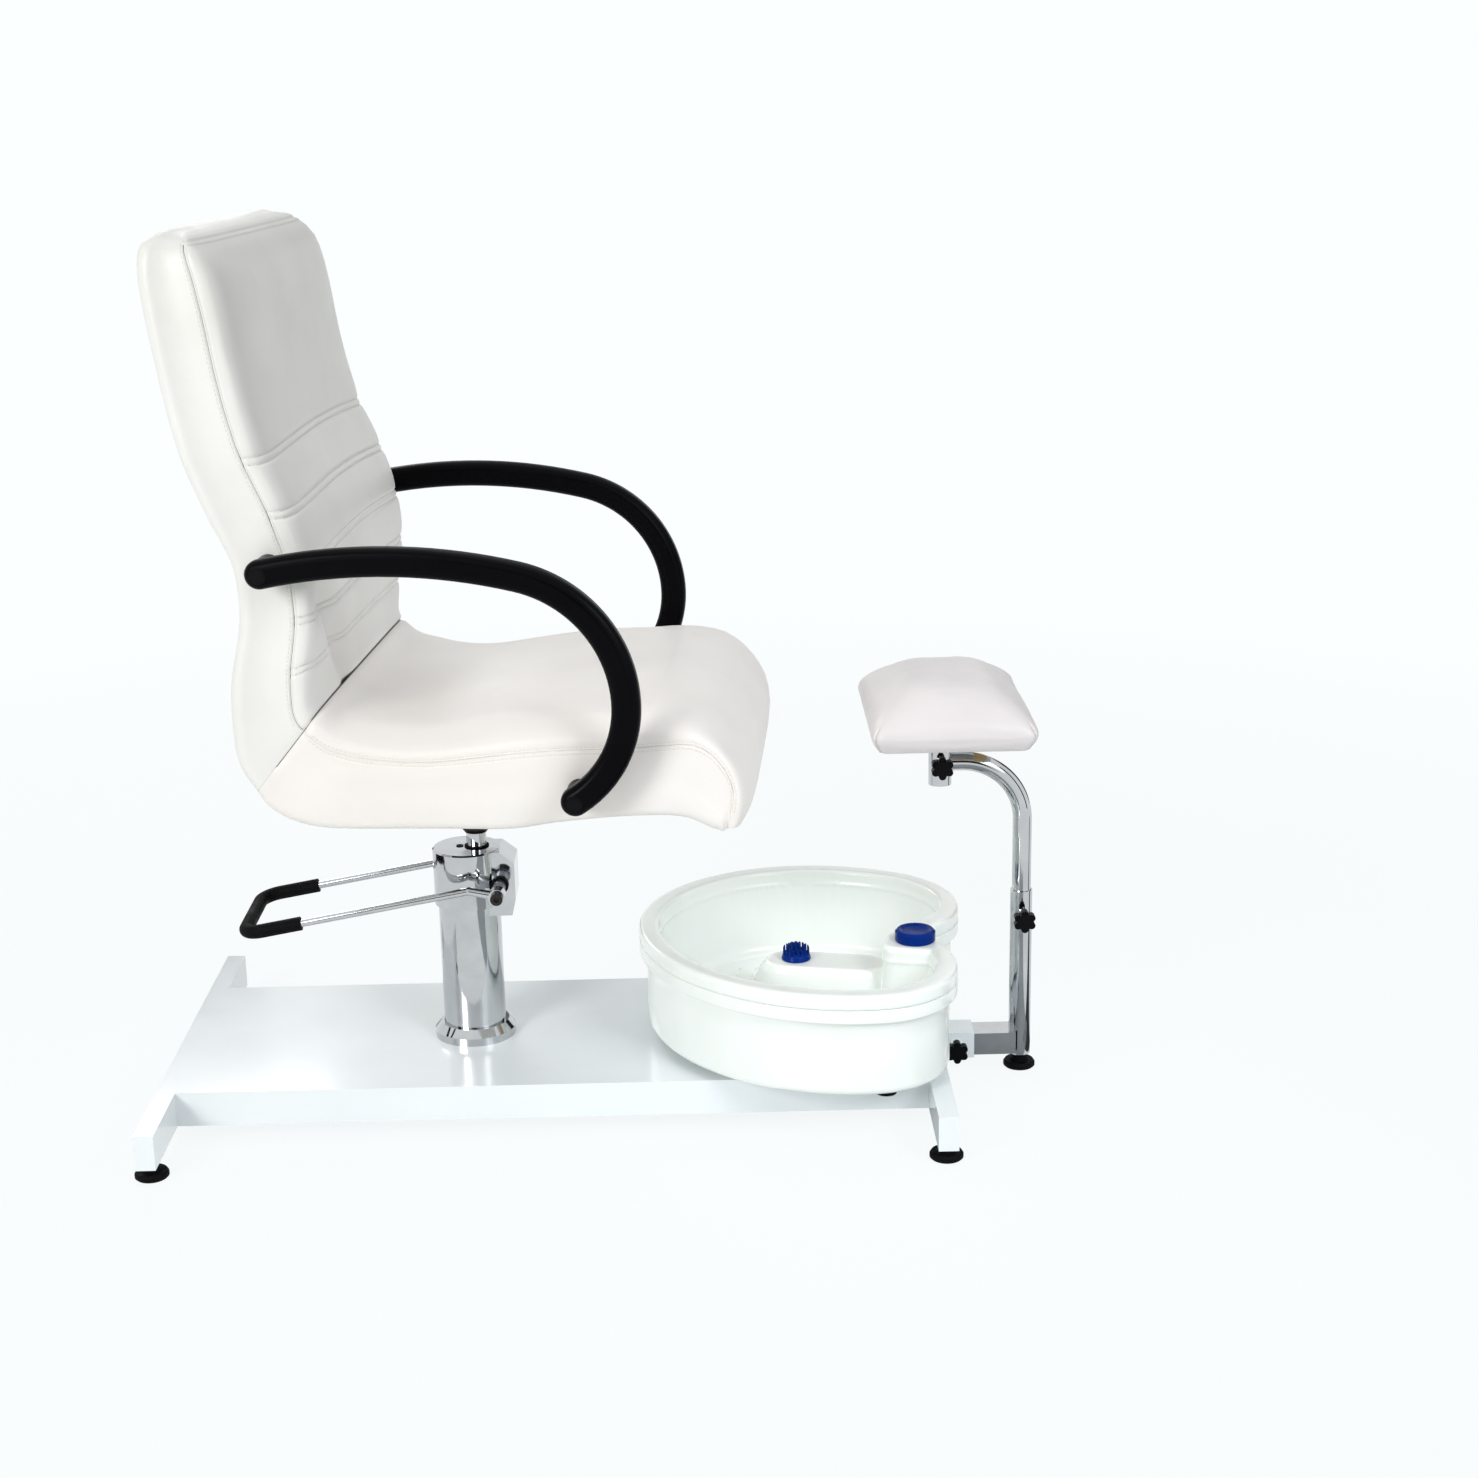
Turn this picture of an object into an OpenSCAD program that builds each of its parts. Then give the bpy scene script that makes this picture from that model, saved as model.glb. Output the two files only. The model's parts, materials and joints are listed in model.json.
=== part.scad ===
// Pedicure spa chair: base frame with a foot pump, swivel armchair, foot bath and leg rest.
// Working frame: X runs from the chair's rear to the leg rest, Z is up, and the pump column's
// axis on the floor is [0, 0, 0]. placed() then moves it all so that the origin is under the middle.

/* [Base frame] */
// Length over both crossbars
frame_l = 1000; // [960:1:1040]
// Distance from the rear crossbar's outer face to the pump column's axis
column_from_rear = 388; // [370:1:400]
// Length of each crossbar
bar_l = 608; // [560:1:640]
// Width of a crossbar
bar_w = 25; // [22:1:30]
// Height of a crossbar, and of the plate's side flanges
bar_h = 45; // [42:1:50]
// Wall of the crossbar tube
bar_wall = 2; // [1.5:0.5:3]
// Clear height under the crossbars
bar_clear = 22; // [21:1:26]
// Width of the base plate
plate_w = 360; // [300:1:400]
// Thickness of the base plate
plate_t = 2.5; // [2:0.5:4]
// Inward lip under each side flange
lip_w = 14; // [8:1:20]
// Thickness of the plug in a crossbar's end
cap_t = 3; // [2:0.5:5]

/* [Levelling feet] */
// Diameter of a foot's pad
foot_d = 42; // [36:1:46]
// Height of a foot's pad
foot_pad_h = 9; // [7:1:10]
// Height up to the top of the foot's neck
foot_neck_h = 16; // [14:1:17]
// Diameter of the foot's neck
foot_neck_d = 24; // [18:1:30]
// Diameter of the foot's threaded stud
stud_d = 8; // [6:1:10]
// Top of the stud above the floor
stud_top = 50; // [44:1:58]
// Distance from a crossbar's end to its foot
foot_inset = 27; // [24:1:60]

/* [Pump] */
// Diameter of the column tube
column_d = 81; // [76:1:84]
// Wall of the column tube
column_wall = 2.5; // [1.5:0.5:4]
// Diameter of the pump head
head_d = 90; // [88:1:94]
// Bottom of the pump head above the floor
head_z0 = 252; // [245:1:260]
// Top of the pump head above the floor
head_z1 = 327; // [322:1:334]
// Reach of the head's pedal block in front of the column axis
block_x = 63; // [60:1:68]
// Width of the pedal block
block_w = 60; // [54:1:66]
// Diameter of the ram
ram_d = 26; // [24:1:28]
// Distance of the ram's axis in front of the column axis
ram_x = 13; // [10:1:14]
// Outer diameter of the inner cylinder
cylinder_d = 44; // [40:1:44]
// Diameter of the cover ring at the column's foot
ring_d = 106; // [104:1:112]
// Height of the cover ring
ring_h = 20; // [18:1:26]
// Diameter of the filler plug
plug_d = 9.5; // [8:0.5:12]

/* [Pedal] */
// Pivot in front of the column axis
pivot_x = 43.5; // [41:0.5:46]
// Pivot above the floor
pivot_z = 282.5; // [278:0.5:286]
// Diameter of the pivot shaft
shaft_d = 16; // [14:1:18]
// Width of the pedal between rod axes
pedal_w = 150; // [140:1:180]
// Diameter of the pedal rod
rod_d = 10; // [8:1:12]
// Distance from the pivot to the pedal's cross bar
pedal_reach = 327; // [300:1:345]
// Downward slope of the rods towards the rear
pedal_slope = 10; // [8:1:12]
// Diameter of the rubber grip
grip_d = 18; // [16:1:20]
// Length of the grip's arms
grip_l = 76; // [50:1:100]
// Bend radius of the pedal rod
pedal_bend_r = 24; // [20:1:32]

/* [Seat mount] */
// Diameter of the hub that sits on the ram
hub_d = 36; // [34:1:44]
// Bottom of the hub above the floor
hub_z0 = 347; // [342:1:350]
// Length of the seat plate
seat_plate_l = 170; // [150:1:180]
// Width of the seat plate
seat_plate_w = 220; // [180:1:260]
// Thickness of the seat plate
seat_plate_t = 4; // [3:1:6]
// Diameter of the seat bolts
seat_bolt_d = 8; // [6:1:8]

/* [Chair] */
// Swivel position of the chair, turned towards the near side
chair_turn = 4.5; // [0:0.5:10]
// Underside of the seat above the floor
seat_z = 432; // [430:1:436]
// Width of the seat and back at their side seams
chair_w = 536; // [500:1:540]
// Crown of the front panel of the back above its seams
back_crown = 38; // [28:1:42]
// Crown of the seat's top panel above its seams
seat_crown = 34; // [26:1:38]
// How far the side panels are drawn in between their seams
side_draw = 4; // [2:1:6]
// Depth of a sewn channel
channel_depth = 5; // [3:1:8]
// Rise of the channels in the middle, as a share of their spacing
channel_arch = 0.25; // [0:0.05:0.4]
// Thickness of the bent plywood shell
shell_t = 12; // [9:1:15]
// Padding behind and under the shell
shell_inset = 14; // [10:1:18]
// Width of the plywood shell
shell_w = 420; // [380:1:440]

/* [Armrests] */
// Distance between the two armrests' middle planes
arm_gap = 620; // [610:1:640]
// Width of an armrest
arm_w = 29; // [26:1:32]
// Thickness of an armrest in its own plane
arm_t = 34; // [30:1:36]
// Rounding of an armrest's section
arm_round = 11; // [8:1:13]
// Radius of the long top curve
arm_top_r = 683; // [640:1:720]
// Radius of the front shoulder
arm_shoulder_r = 156; // [145:1:160]
// Radius of the lower front curve
arm_front_r = 133; // [120:1:140]
// Diameter of the plugs over the bolts
arm_plug_d = 20; // [18:1:22]

/* [Leg rest] */
// Width of the rectangular slide tube
slide_w = 40; // [36:1:44]
// Height of the rectangular slide tube
slide_h = 30; // [26:1:32]
// Wall of the leg rest's tubes
slide_wall = 2; // [1.5:0.5:2.5]
// Length of the socket in front of the crossbar
socket_l = 50; // [40:1:60]
// Wall of the socket
socket_wall = 2.7; // [2:0.1:3]
// Distance from the front crossbar to the post's axis
post_from_bar = 113; // [108:1:125]
// Length of the slide tube behind the front crossbar's outer face
slide_in = 95; // [70:1:110]
// Outer diameter of the sleeve
sleeve_d = 29; // [28:1:32]
// Bottom of the sleeve above the floor
sleeve_z0 = 20; // [19:1:22]
// Top of the sleeve above the floor
sleeve_z1 = 250; // [240:1:254]
// Height of the sleeve knob above the floor
sleeve_knob_z = 218; // [210:1:226]
// Diameter of the post
post_d = 25; // [24:1:25]
// Bottom of the post above the floor
post_z0 = 140; // [132:1:150]
// Height of the post's horizontal arm above the floor
post_arm_z = 427; // [420:1:432]
// Bend radius of the post
post_bend_r = 80; // [70:1:84]
// Distance from the post's axis to the pad barrel's axis
barrel_back = 108; // [104:1:116]
// Outer diameter of the pad barrel
barrel_d = 30; // [28:1:34]
// Bottom of the pad barrel above the floor
barrel_z0 = 397; // [390:1:400]
// Height of the pad barrel
barrel_h = 55; // [48:1:58]

/* [Leg pad] */
// Length of the pad's board along X
pad_l = 190; // [170:1:200]
// Width of the pad's board
pad_w = 250; // [220:1:280]
// Underside of the pad above the floor
pad_z = 474; // [470:1:480]
// Height of the crowned pad
pad_h = 76; // [60:1:84]
// Bulge of the pad's sides beyond its board
pad_bulge = 13; // [6:1:16]
// Thickness of the pad's board
pad_board_t = 12; // [9:1:15]

/* [Knobs] */
// Diameter over the lobes of a star knob
knob_d = 30; // [26:1:34]
// Number of lobes
knob_lobes = 6; // [5:1:8]
// Thickness of the lobed head
knob_t = 13; // [10:1:16]
// Diameter of a knob's screw
knob_screw_d = 8; // [6:1:8]
// Length of the welded nut that a knob screws into
nut_l = 10; // [8:1:12]
// Diameter of the welded nut
nut_d = 18; // [15:1:20]

/* [Foot bath] */
// Distance from the front crossbar's outer face back to the middle of the bath's round tip
bath_back = 293; // [289:1:300]
// Middle of the bath's round tip to the far side
bath_y = 12; // [0:1:16]
// Turn of the bath on the plate, towards the near side
bath_turn = 13; // [0:1:15]
// How far the near lobe leads the far one, as a share of the half width
bath_skew = 0.12; // [0:0.02:0.16]
// Height of the bath's feet
bath_foot_h = 10; // [8:1:14]
// Diameter of the bath's feet
bath_foot_d = 26; // [20:1:32]
// Top of the rim above the floor
rim_z = 213; // [208:1:220]
// Height of the tub's share of the rim band
rim_h = 19; // [16:1:24]
// Height of the casing's share of the rim band
band_h = 17; // [12:1:22]
// Width of the rim
rim_w = 24; // [20:1:28]
// Step of the casing's wall inside the rim band
casing_step = 10; // [6:1:14]
// Wall of the two mouldings
bath_wall = 3; // [2.5:0.5:4]
// Radius of the bath's tip
tip_r = 100; // [95:1:105]
// Radius of the bath's long sides
side_r = 254; // [248:1:270]
// Radius of a lobe
lobe_r = 130; // [124:1:134]
// Distance from the tip's centre to the lobes' centres
lobe_x = 195; // [188:1:200]
// Half distance between the lobes' centres
lobe_y = 110; // [104:1:112]
// Radius of the notch between the lobes
notch_r = 28; // [24:1:30]
// Top of the middle ridge above the floor
ridge_z = 170; // [160:1:175]
// Diameter of the dial
dial_d = 52; // [44:1:56]
// Height of the dial
dial_h = 15; // [12:1:18]
// Diameter of the massage head
head_base_d = 39; // [34:1:42]
// Length of its bristles
bristle_l = 12; // [8:1:14]
// Diameter of a bristle at its foot
bristle_d = 3.4; // [2.6:0.2:3.6]

/* [Fits] */
// Clearance between bodies that rest on or near each other
gap = 0.3; // [0.2:0.05:0.4]
// Radial clearance of a running fit
run = 0.06; // [0.03:0.01:0.1]
// Clearance of a clamped sliding fit
slide_fit = 0.1; // [0.06:0.01:0.15]
// Clearance around screws and bolts
bolt_fit = 0.4; // [0.2:0.1:0.8]

/* [Hidden] */
$fn = 64;
eps = 0.01;
white = "#f3f3f1";
leatherette = "#eceae6";
chrome = "#c9ccd0";
black = "#1c1c1e";
steel = "#9aa0a6";
blue = "#123e86";
mint = "#eef7f2";

rear_x = -column_from_rear;
front_x = frame_l - column_from_rear;
bar_top = bar_clear + bar_h;
plate_top = bar_top;
foot_y = bar_l / 2 - foot_inset;
rear_foot_x = rear_x + bar_w / 2;
front_foot_x = front_x - bar_w / 2;
post_x = front_x + post_from_bar;
barrel_x = post_x - barrel_back;
slide_z = bar_clear + socket_wall + slide_fit + slide_h / 2;
arm_y = arm_gap / 2;
bath_x = front_x - bath_back;

// The origin is under the middle: halfway between the rear feet and the leg rest's foot.
origin_x = (rear_foot_x + post_x) / 2;

module placed() { translate([-origin_x, 0, 0]) children(); }
module in_chair() { placed() translate([ram_x, 0, 0]) rotate([0, 0, -chair_turn]) children(); }
module in_bath() { placed() translate([bath_x, bath_y, 0]) rotate([0, 0, -bath_turn]) children(); }

// A hollow box, open at both ends of its axis.
module tube_x(l, w, h, wall) {
  difference() {
    translate([0, -w / 2, -h / 2]) cube([l, w, h]);
    translate([-eps, -w / 2 + wall, -h / 2 + wall]) cube([l + 2 * eps, w - 2 * wall, h - 2 * wall]);
  }
}
module ring_z(z0, z1, d_out, d_in) {
  translate([0, 0, z0]) difference() {
    cylinder(h = z1 - z0, d = d_out);
    translate([0, 0, -eps]) cylinder(h = z1 - z0 + 2 * eps, d = d_in);
  }
}
// A cylinder along Y, from y0 to y1.
module rod_y(y0, y1, d, faces = 64) {
  translate([0, y1, 0]) rotate([90, 0, 0]) cylinder(h = y1 - y0, d = d, $fn = faces);
}
// The same thing on the far side and on the near side.
module both_sides() {
  children();
  mirror([0, 1, 0]) children();
}

// ---- lofted solids: a list of rings with the same count of points, closed by fans ----
function centre(ring) = [for (k = [0:2]) sum_of([for (p = ring) p[k]]) / len(ring)];
function sum_of(v, i = 0) = i >= len(v) ? 0 : v[i] + sum_of(v, i + 1);
module loft(rings) {
  n = len(rings[0]);
  m = len(rings);
  points = concat([for (r = rings) each r], [centre(rings[0]), centre(rings[m - 1])]);
  walls = [for (i = [0:m - 2]) for (j = [0:n - 1])
      let(a = i * n + j, b = i * n + (j + 1) % n, c = a + n, d = b + n)
      each [[a, b, d], [a, d, c]]];
  first = [for (j = [0:n - 1]) [m * n, (j + 1) % n, j]];
  last = [for (j = [0:n - 1]) [m * n + 1, (m - 1) * n + j, (m - 1) * n + (j + 1) % n]];
  polyhedron(points = points, faces = concat(walls, first, last), convexity = 8);
}

// ---- base frame ----
pump_bolt_r = 46;
pump_bolt_d = 5;
pump_bolt_head_d = 8.5;
pump_bolt_head_h = 4;
pump_nut_d = 9.2;
pump_nut_h = 4;
flange_t = 6;
flange_d = 100;
bolt_turn = 45;
module pump_bolt_places() {
  for (k = [0:3]) rotate([0, 0, bolt_turn + 90 * k]) translate([pump_bolt_r, 0, 0]) children();
}
module base_plate() {
  l = frame_l - 2 * bar_w;
  color(white) placed() difference() {
    union() {
      translate([rear_x + bar_w, -plate_w / 2, plate_top - plate_t]) cube([l, plate_w, plate_t]);
      both_sides() translate([rear_x + bar_w, plate_w / 2 - plate_t, bar_clear]) cube([l, plate_t, bar_h]);
      both_sides() translate([rear_x + bar_w, plate_w / 2 - lip_w, bar_clear]) cube([l, lip_w, plate_t]);
    }
    pump_bolt_places() translate([0, 0, plate_top - 2 * plate_t]) cylinder(h = 3 * plate_t, d = pump_bolt_d + bolt_fit);
  }
}
foot_hole_d = 13;
module crossbar(x, foot_x) {
  color(white) placed() difference() {
    translate([x + bar_w / 2, 0, bar_clear + bar_h / 2]) rotate([0, 0, 90])
      translate([-bar_l / 2, 0, 0]) tube_x(bar_l, bar_w, bar_h, bar_wall);
    both_sides() translate([foot_x, foot_y, bar_clear - eps]) cylinder(h = bar_wall + 2 * eps, d = foot_hole_d);
    if (x > 0) translate([x - eps, -slide_w / 2 - slide_fit, slide_z - slide_h / 2 - slide_fit])
      cube([bar_w + 2 * eps, slide_w + 2 * slide_fit, slide_h + 2 * slide_fit]);
  }
}
module rear_crossbar() { crossbar(rear_x, rear_foot_x); }
module front_crossbar() { crossbar(front_x - bar_w, front_foot_x); }
plug_depth = 10;
module crossbar_plugs() {
  color(white) placed() for (x = [rear_foot_x, front_foot_x]) both_sides() {
    translate([x - bar_w / 2, bar_l / 2, bar_clear]) cube([bar_w, cap_t, bar_h]);
    translate([x - bar_w / 2 + bar_wall, bar_l / 2 - plug_depth, bar_clear + bar_wall])
      cube([bar_w - 2 * bar_wall, plug_depth + eps, bar_h - 2 * bar_wall]);
  }
}
rivet_nut_h = 15;
module foot_nuts() {
  color(steel) placed() for (x = [rear_foot_x, front_foot_x]) both_sides() translate([x, foot_y, bar_clear - 1])
    rotate_extrude() polygon([[stud_d / 2 + run, 0], [foot_hole_d / 2 + 2, 0], [foot_hole_d / 2 + 2, 1],
      [foot_hole_d / 2, 1], [foot_hole_d / 2, rivet_nut_h], [stud_d / 2 + run, rivet_nut_h]]);
}
module legrest_socket() {
  w = slide_w + 2 * slide_fit + 2 * socket_wall;
  h = slide_h + 2 * slide_fit + 2 * socket_wall;
  color(white) placed() difference() {
    union() {
      translate([front_x, 0, slide_z]) tube_x(socket_l, w, h, socket_wall);
      translate([front_x + socket_l / 2, 0, slide_z]) rod_y(-w / 2 - nut_l, -w / 2 + eps, nut_d);
    }
    translate([front_x + socket_l / 2, 0, slide_z]) rod_y(-w, -slide_w / 2, knob_screw_d + 2 * run);
  }
}
// A levelling foot: rubber pad, neck and moulded-in stud.
module foot_shape(top) {
  rotate_extrude() polygon([[0, 0], [foot_d / 2 - 2, 0], [foot_d / 2, 2], [foot_d / 2, foot_pad_h - 3],
    [foot_d / 2 - 2, foot_pad_h], [foot_neck_d / 2, foot_pad_h], [foot_neck_d / 2 - 2, foot_neck_h],
    [stud_d / 2, foot_neck_h], [stud_d / 2, top], [0, top]]);
}
module foot_at(x, y) { color(black) placed() translate([x, y, 0]) foot_shape(stud_top); }
module foot_rear_near() { foot_at(rear_foot_x, -foot_y); }
module foot_rear_far() { foot_at(rear_foot_x, foot_y); }
module foot_front_near() { foot_at(front_foot_x, -foot_y); }
module foot_front_far() { foot_at(front_foot_x, foot_y); }

// ---- pump ----
flange_top = plate_top + flange_t;
cylinder_z0 = flange_top + 20;
cylinder_z1 = head_z1 - 20;
bush_d = 23;
column_z1 = pivot_z - bush_d / 2 - 5;
head_skirt = 12;
cylinder_in_d = 34;
seal_d = ram_d + 6;
seal_h = 4;
bush_proud = 4;
bush_l = 12;
filler_x = -22 + ram_x;
module pump_flange() {
  color(steel) placed() difference() {
    translate([0, 0, plate_top]) cylinder(h = flange_t, d = flange_d);
    pump_bolt_places() translate([0, 0, plate_top - eps]) cylinder(h = flange_t + 1, d = pump_bolt_d + bolt_fit);
  }
}
module pump_bolts() {
  color(steel) placed() pump_bolt_places() {
    translate([0, 0, flange_top]) cylinder(h = pump_bolt_head_h, d = pump_bolt_head_d);
    translate([0, 0, plate_top - plate_t - pump_nut_h]) cylinder(h = flange_t + plate_t + pump_nut_h + eps, d = pump_bolt_d);
    translate([0, 0, plate_top - plate_t - pump_nut_h]) cylinder(h = pump_nut_h, d = pump_nut_d, $fn = 6);
  }
}
ring_wall = 1.5;
module cover_ring() {
  r0 = column_d / 2 + gap;
  r1 = ring_d / 2;
  z1 = plate_top + ring_h;
  edge = ring_h / 2;
  color(chrome) placed() rotate_extrude() polygon([[r1 - ring_wall, plate_top], [r1, plate_top],
    [r1, plate_top + edge], [r0 + 4, z1], [r0, z1], [r0, z1 - ring_wall], [r0 + 3, z1 - ring_wall],
    [r1 - ring_wall, plate_top + edge - 1]]);
}
module column_tube() {
  color(chrome) placed() ring_z(flange_top, column_z1, column_d, column_d - 2 * column_wall);
}
module inner_cylinder() {
  color(steel) placed() translate([ram_x, 0, 0]) {
    ring_z(cylinder_z0, cylinder_z1, cylinder_d, cylinder_in_d);
    translate([0, 0, flange_top]) cylinder(h = cylinder_z0 - flange_top, d = cylinder_d);
  }
}
// Cast head: a round cap over the column with a block for the pedal shaft.
module pump_head() {
  slope = 16;
  color(chrome) placed() difference() {
    union() {
      translate([0, 0, head_z0]) cylinder(h = head_z1 - head_z0 - 2, d = head_d);
      translate([0, 0, head_z1 - 2 - eps]) cylinder(h = 2 + eps, d1 = head_d, d2 = head_d - 4);
      translate([0, block_w / 2, 0]) rotate([90, 0, 0]) linear_extrude(block_w)
        polygon([[0, head_z0 - head_skirt], [block_x - 5, head_z0 - head_skirt], [block_x, head_z0 + 10],
          [block_x, head_z1 - slope], [block_x - slope - 3, head_z1 - 1], [0, head_z1 - 1]]);
    }
    translate([0, 0, head_z0 - head_skirt - 1])
      cylinder(h = column_z1 - head_z0 + head_skirt + 1 + gap, d = column_d + 2 * run);
    translate([ram_x, 0, column_z1]) cylinder(h = cylinder_z1 - column_z1 + gap, d = cylinder_d + 2 * run);
    translate([ram_x, 0, head_z0]) cylinder(h = 2 * (head_z1 - head_z0), d = ram_d + 2 * run + 2);
    translate([ram_x, 0, head_z1 - seal_h]) cylinder(h = 2 * seal_h, d = seal_d);
    translate([filler_x, 0, head_z1 - 8]) cylinder(h = 10, d = plug_d);
    translate([pivot_x, 0, pivot_z]) rod_y(-block_w, block_w, bush_d);
  }
}
module filler_plug() {
  color(black) placed() translate([filler_x, 0, head_z1 - 8]) difference() {
    cylinder(h = 9, d = plug_d);
    translate([0, 0, 6]) cylinder(h = 4, d = plug_d / 2, $fn = 6);
  }
}
module ram_seal() {
  color(black) placed() translate([ram_x, 0, 0]) ring_z(head_z1 - seal_h, head_z1 + 1.5, seal_d, ram_d + 2 * run);
}
module pedal_bushes() {
  color(black) placed() translate([pivot_x, 0, pivot_z]) both_sides() difference() {
    rod_y(block_w / 2 + bush_proud - bush_l, block_w / 2 + bush_proud, bush_d);
    rod_y(0, block_w, shaft_d + 2 * run);
  }
}

// ---- pedal ----
hub_l = 16;
hub_out_d = 22;
shaft_l = pedal_w + hub_l;
pedal_bolt_d = 8;
pedal_bolt_head_d = 16;
pedal_bolt_head_h = 7;
pedal_bolt_l = 16;
crank_l = 36;
crank_rise = 7.5;
crank_d = 11;
module pedal_shaft() {
  color(steel) placed() translate([pivot_x, 0, pivot_z]) difference() {
    rod_y(-shaft_l / 2, shaft_l / 2, shaft_d);
    both_sides() rod_y(shaft_l / 2 - pedal_bolt_l - 1, shaft_l, pedal_bolt_d + 2 * run);
  }
}
// Frame at the rods' upper bend, with -X running down along the rods.
module in_pedal() {
  placed() translate([pivot_x - crank_l, 0, pivot_z + crank_rise]) rotate([0, -pedal_slope, 0]) children();
}
rod_run = (pedal_reach - crank_l) / cos(pedal_slope);
// A U of the given diameter: two arms of length l, two bends and a cross bar.
module pedal_u(d, l) {
  x_end = -rod_run;
  both_sides() {
    translate([x_end + pedal_bend_r, pedal_w / 2, 0]) rotate([0, 90, 0]) cylinder(h = l - pedal_bend_r, d = d);
    translate([x_end + pedal_bend_r, pedal_w / 2 - pedal_bend_r, 0]) rotate([0, 0, 90])
      rotate_extrude(angle = 90) translate([pedal_bend_r, 0]) circle(d = d);
  }
  translate([x_end, 0, 0]) rod_y(-pedal_w / 2 + pedal_bend_r, pedal_w / 2 - pedal_bend_r, d);
}
// A rod with one rounded end, which joins a hub to an arm of the U.
module crank_rod(l) {
  r = crank_d / 2;
  rotate_extrude() polygon(concat([for (a = [-90:15:0]) r * [cos(a), sin(a)]], [[r, l], [0, l]]));
}
module pedal_fork() {
  crank = sqrt(crank_l * crank_l + crank_rise * crank_rise);
  color(chrome) difference() {
    union() {
      in_pedal() {
        pedal_u(rod_d, rod_run);
      }
      placed() both_sides() translate([pivot_x, pedal_w / 2, pivot_z]) {
        rod_y(-hub_l / 2, hub_l / 2, hub_out_d);
        translate([-crank_l, 0, crank_rise]) rotate([0, 90 + atan(crank_rise / crank_l), 0]) crank_rod(crank);
      }
    }
    placed() translate([pivot_x, 0, pivot_z]) rod_y(-shaft_l, shaft_l, shaft_d);
  }
}
module pedal_grip() {
  color(black) in_pedal() difference() {
    pedal_u(grip_d, grip_l);
    pedal_u(rod_d + 2 * run, grip_l + 1);
  }
}
module pedal_bolts() {
  color(black) placed() translate([pivot_x, 0, pivot_z]) both_sides() difference() {
    union() {
      rod_y(shaft_l / 2, shaft_l / 2 + pedal_bolt_head_h, pedal_bolt_head_d);
      rod_y(shaft_l / 2 - pedal_bolt_l, shaft_l / 2 + eps, pedal_bolt_d);
    }
    rod_y(shaft_l / 2 + pedal_bolt_head_h / 2, shaft_l, pedal_bolt_head_d / 2, 6);
  }
}

// ---- ram and seat mount ----
ram_z0 = cylinder_z0 + 20;
piston_h = 14;
hub_z1 = seat_z - gap - seat_plate_t;
ram_top = hub_z1 - 14;
module ram() {
  color(chrome) placed() translate([ram_x, 0, ram_z0]) cylinder(h = ram_top - ram_z0, d = ram_d);
}
module ram_piston() {
  color(steel) placed() translate([ram_x, 0, ram_z0 - piston_h])
    cylinder(h = piston_h, d = cylinder_in_d - 2 * run);
}
module seat_bolt_places() {
  both_sides() for (x = [-1, 1]) translate([x * (seat_plate_l / 2 - 15), seat_plate_w / 2 - 20, 0]) children();
}
module seat_hub() {
  chamfer = 5;
  color(black) in_chair() difference() {
    union() {
      translate([0, 0, hub_z0]) cylinder(h = chamfer, d1 = hub_d - 2 * chamfer + 3, d2 = hub_d);
      translate([0, 0, hub_z0 + chamfer - eps]) cylinder(h = hub_z1 - hub_z0 - chamfer + 2 * eps, d = hub_d);
      translate([-seat_plate_l / 2, -seat_plate_w / 2, hub_z1]) cube([seat_plate_l, seat_plate_w, seat_plate_t]);
    }
    translate([0, 0, hub_z0 - 1]) cylinder(h = ram_top - hub_z0 + 1 + gap, d = ram_d + 2 * run);
    seat_bolt_places() translate([0, 0, hub_z1 - eps]) cylinder(h = seat_plate_t + 1, d = seat_bolt_d + bolt_fit);
  }
}

// ---- upholstery: rows of [rear x, rear z, seam x, seam z, crown, half width], and where the crown
// doesn't go straight on from the rear point through the seam, its direction in degrees ----
half_w = chair_w / 2;
mitre = [-212, 46, -150, 122, back_crown, half_w];
back_rows = [
  mitre, [-230, 76, -158, 134, back_crown, half_w], [-236, 113, -162, 152, back_crown, half_w],
  [-234, 178, -161, 193, back_crown, half_w], [-219, 253, -152, 255, back_crown - 3, half_w],
  [-222, 317, -155, 317, back_crown - 3, half_w], [-247, 376, -174, 379, back_crown, half_w],
  [-271, 438, -200, 441, back_crown, half_w], [-284, 493, -215, 495, back_crown + 1, half_w],
  [-293, 548, -225, 548, back_crown + 1, half_w], [-301, 603, -233, 603, back_crown + 1, half_w],
  [-306, 648, -242, 648, back_crown, half_w - 2], [-305, 673, -248, 673, back_crown - 7, half_w - 4],
  [-301, 686, -250, 685, back_crown / 2 - 3, half_w - 10], [-291, 696, -254, 694, back_crown / 4 - 2, half_w - 26],
  [-281, 701, -261, 698, 3, half_w - 56]];
seat_rows = [
  mitre, [-200, 28, -138, 111, back_crown - 1, half_w], [-178, 13, -120, 99, seat_crown + 2, half_w],
  [-145, 3, -88, 90, seat_crown, half_w], [-105, 0, -45, 85, seat_crown, half_w],
  [-40, 0, 0, 84, seat_crown, half_w], [20, 0, 45, 88, seat_crown, half_w],
  [90, 0, 100, 94, seat_crown, half_w], [145, 8, 155, 98, seat_crown, half_w],
  [215, 15, 220, 100, seat_crown, half_w], [275, 17, 275, 104, seat_crown, half_w],
  [300, 14, 306, 105, seat_crown - 7, half_w, 74], [314, 8, 326, 96, seat_crown - 13, half_w - 1, 54],
  [324, 3, 342, 79, seat_crown - 15, half_w - 1, 34], [330, 0, 352, 58, seat_crown - 13, half_w - 2, 16],
  [334, -1, 354, 37, seat_crown - 11, half_w - 3, 3], [338, -2, 351, 19, seat_crown - 10, half_w - 5, -5],
  [341, -2, 347, 8, seat_crown - 12, half_w - 12, -10]];
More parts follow.
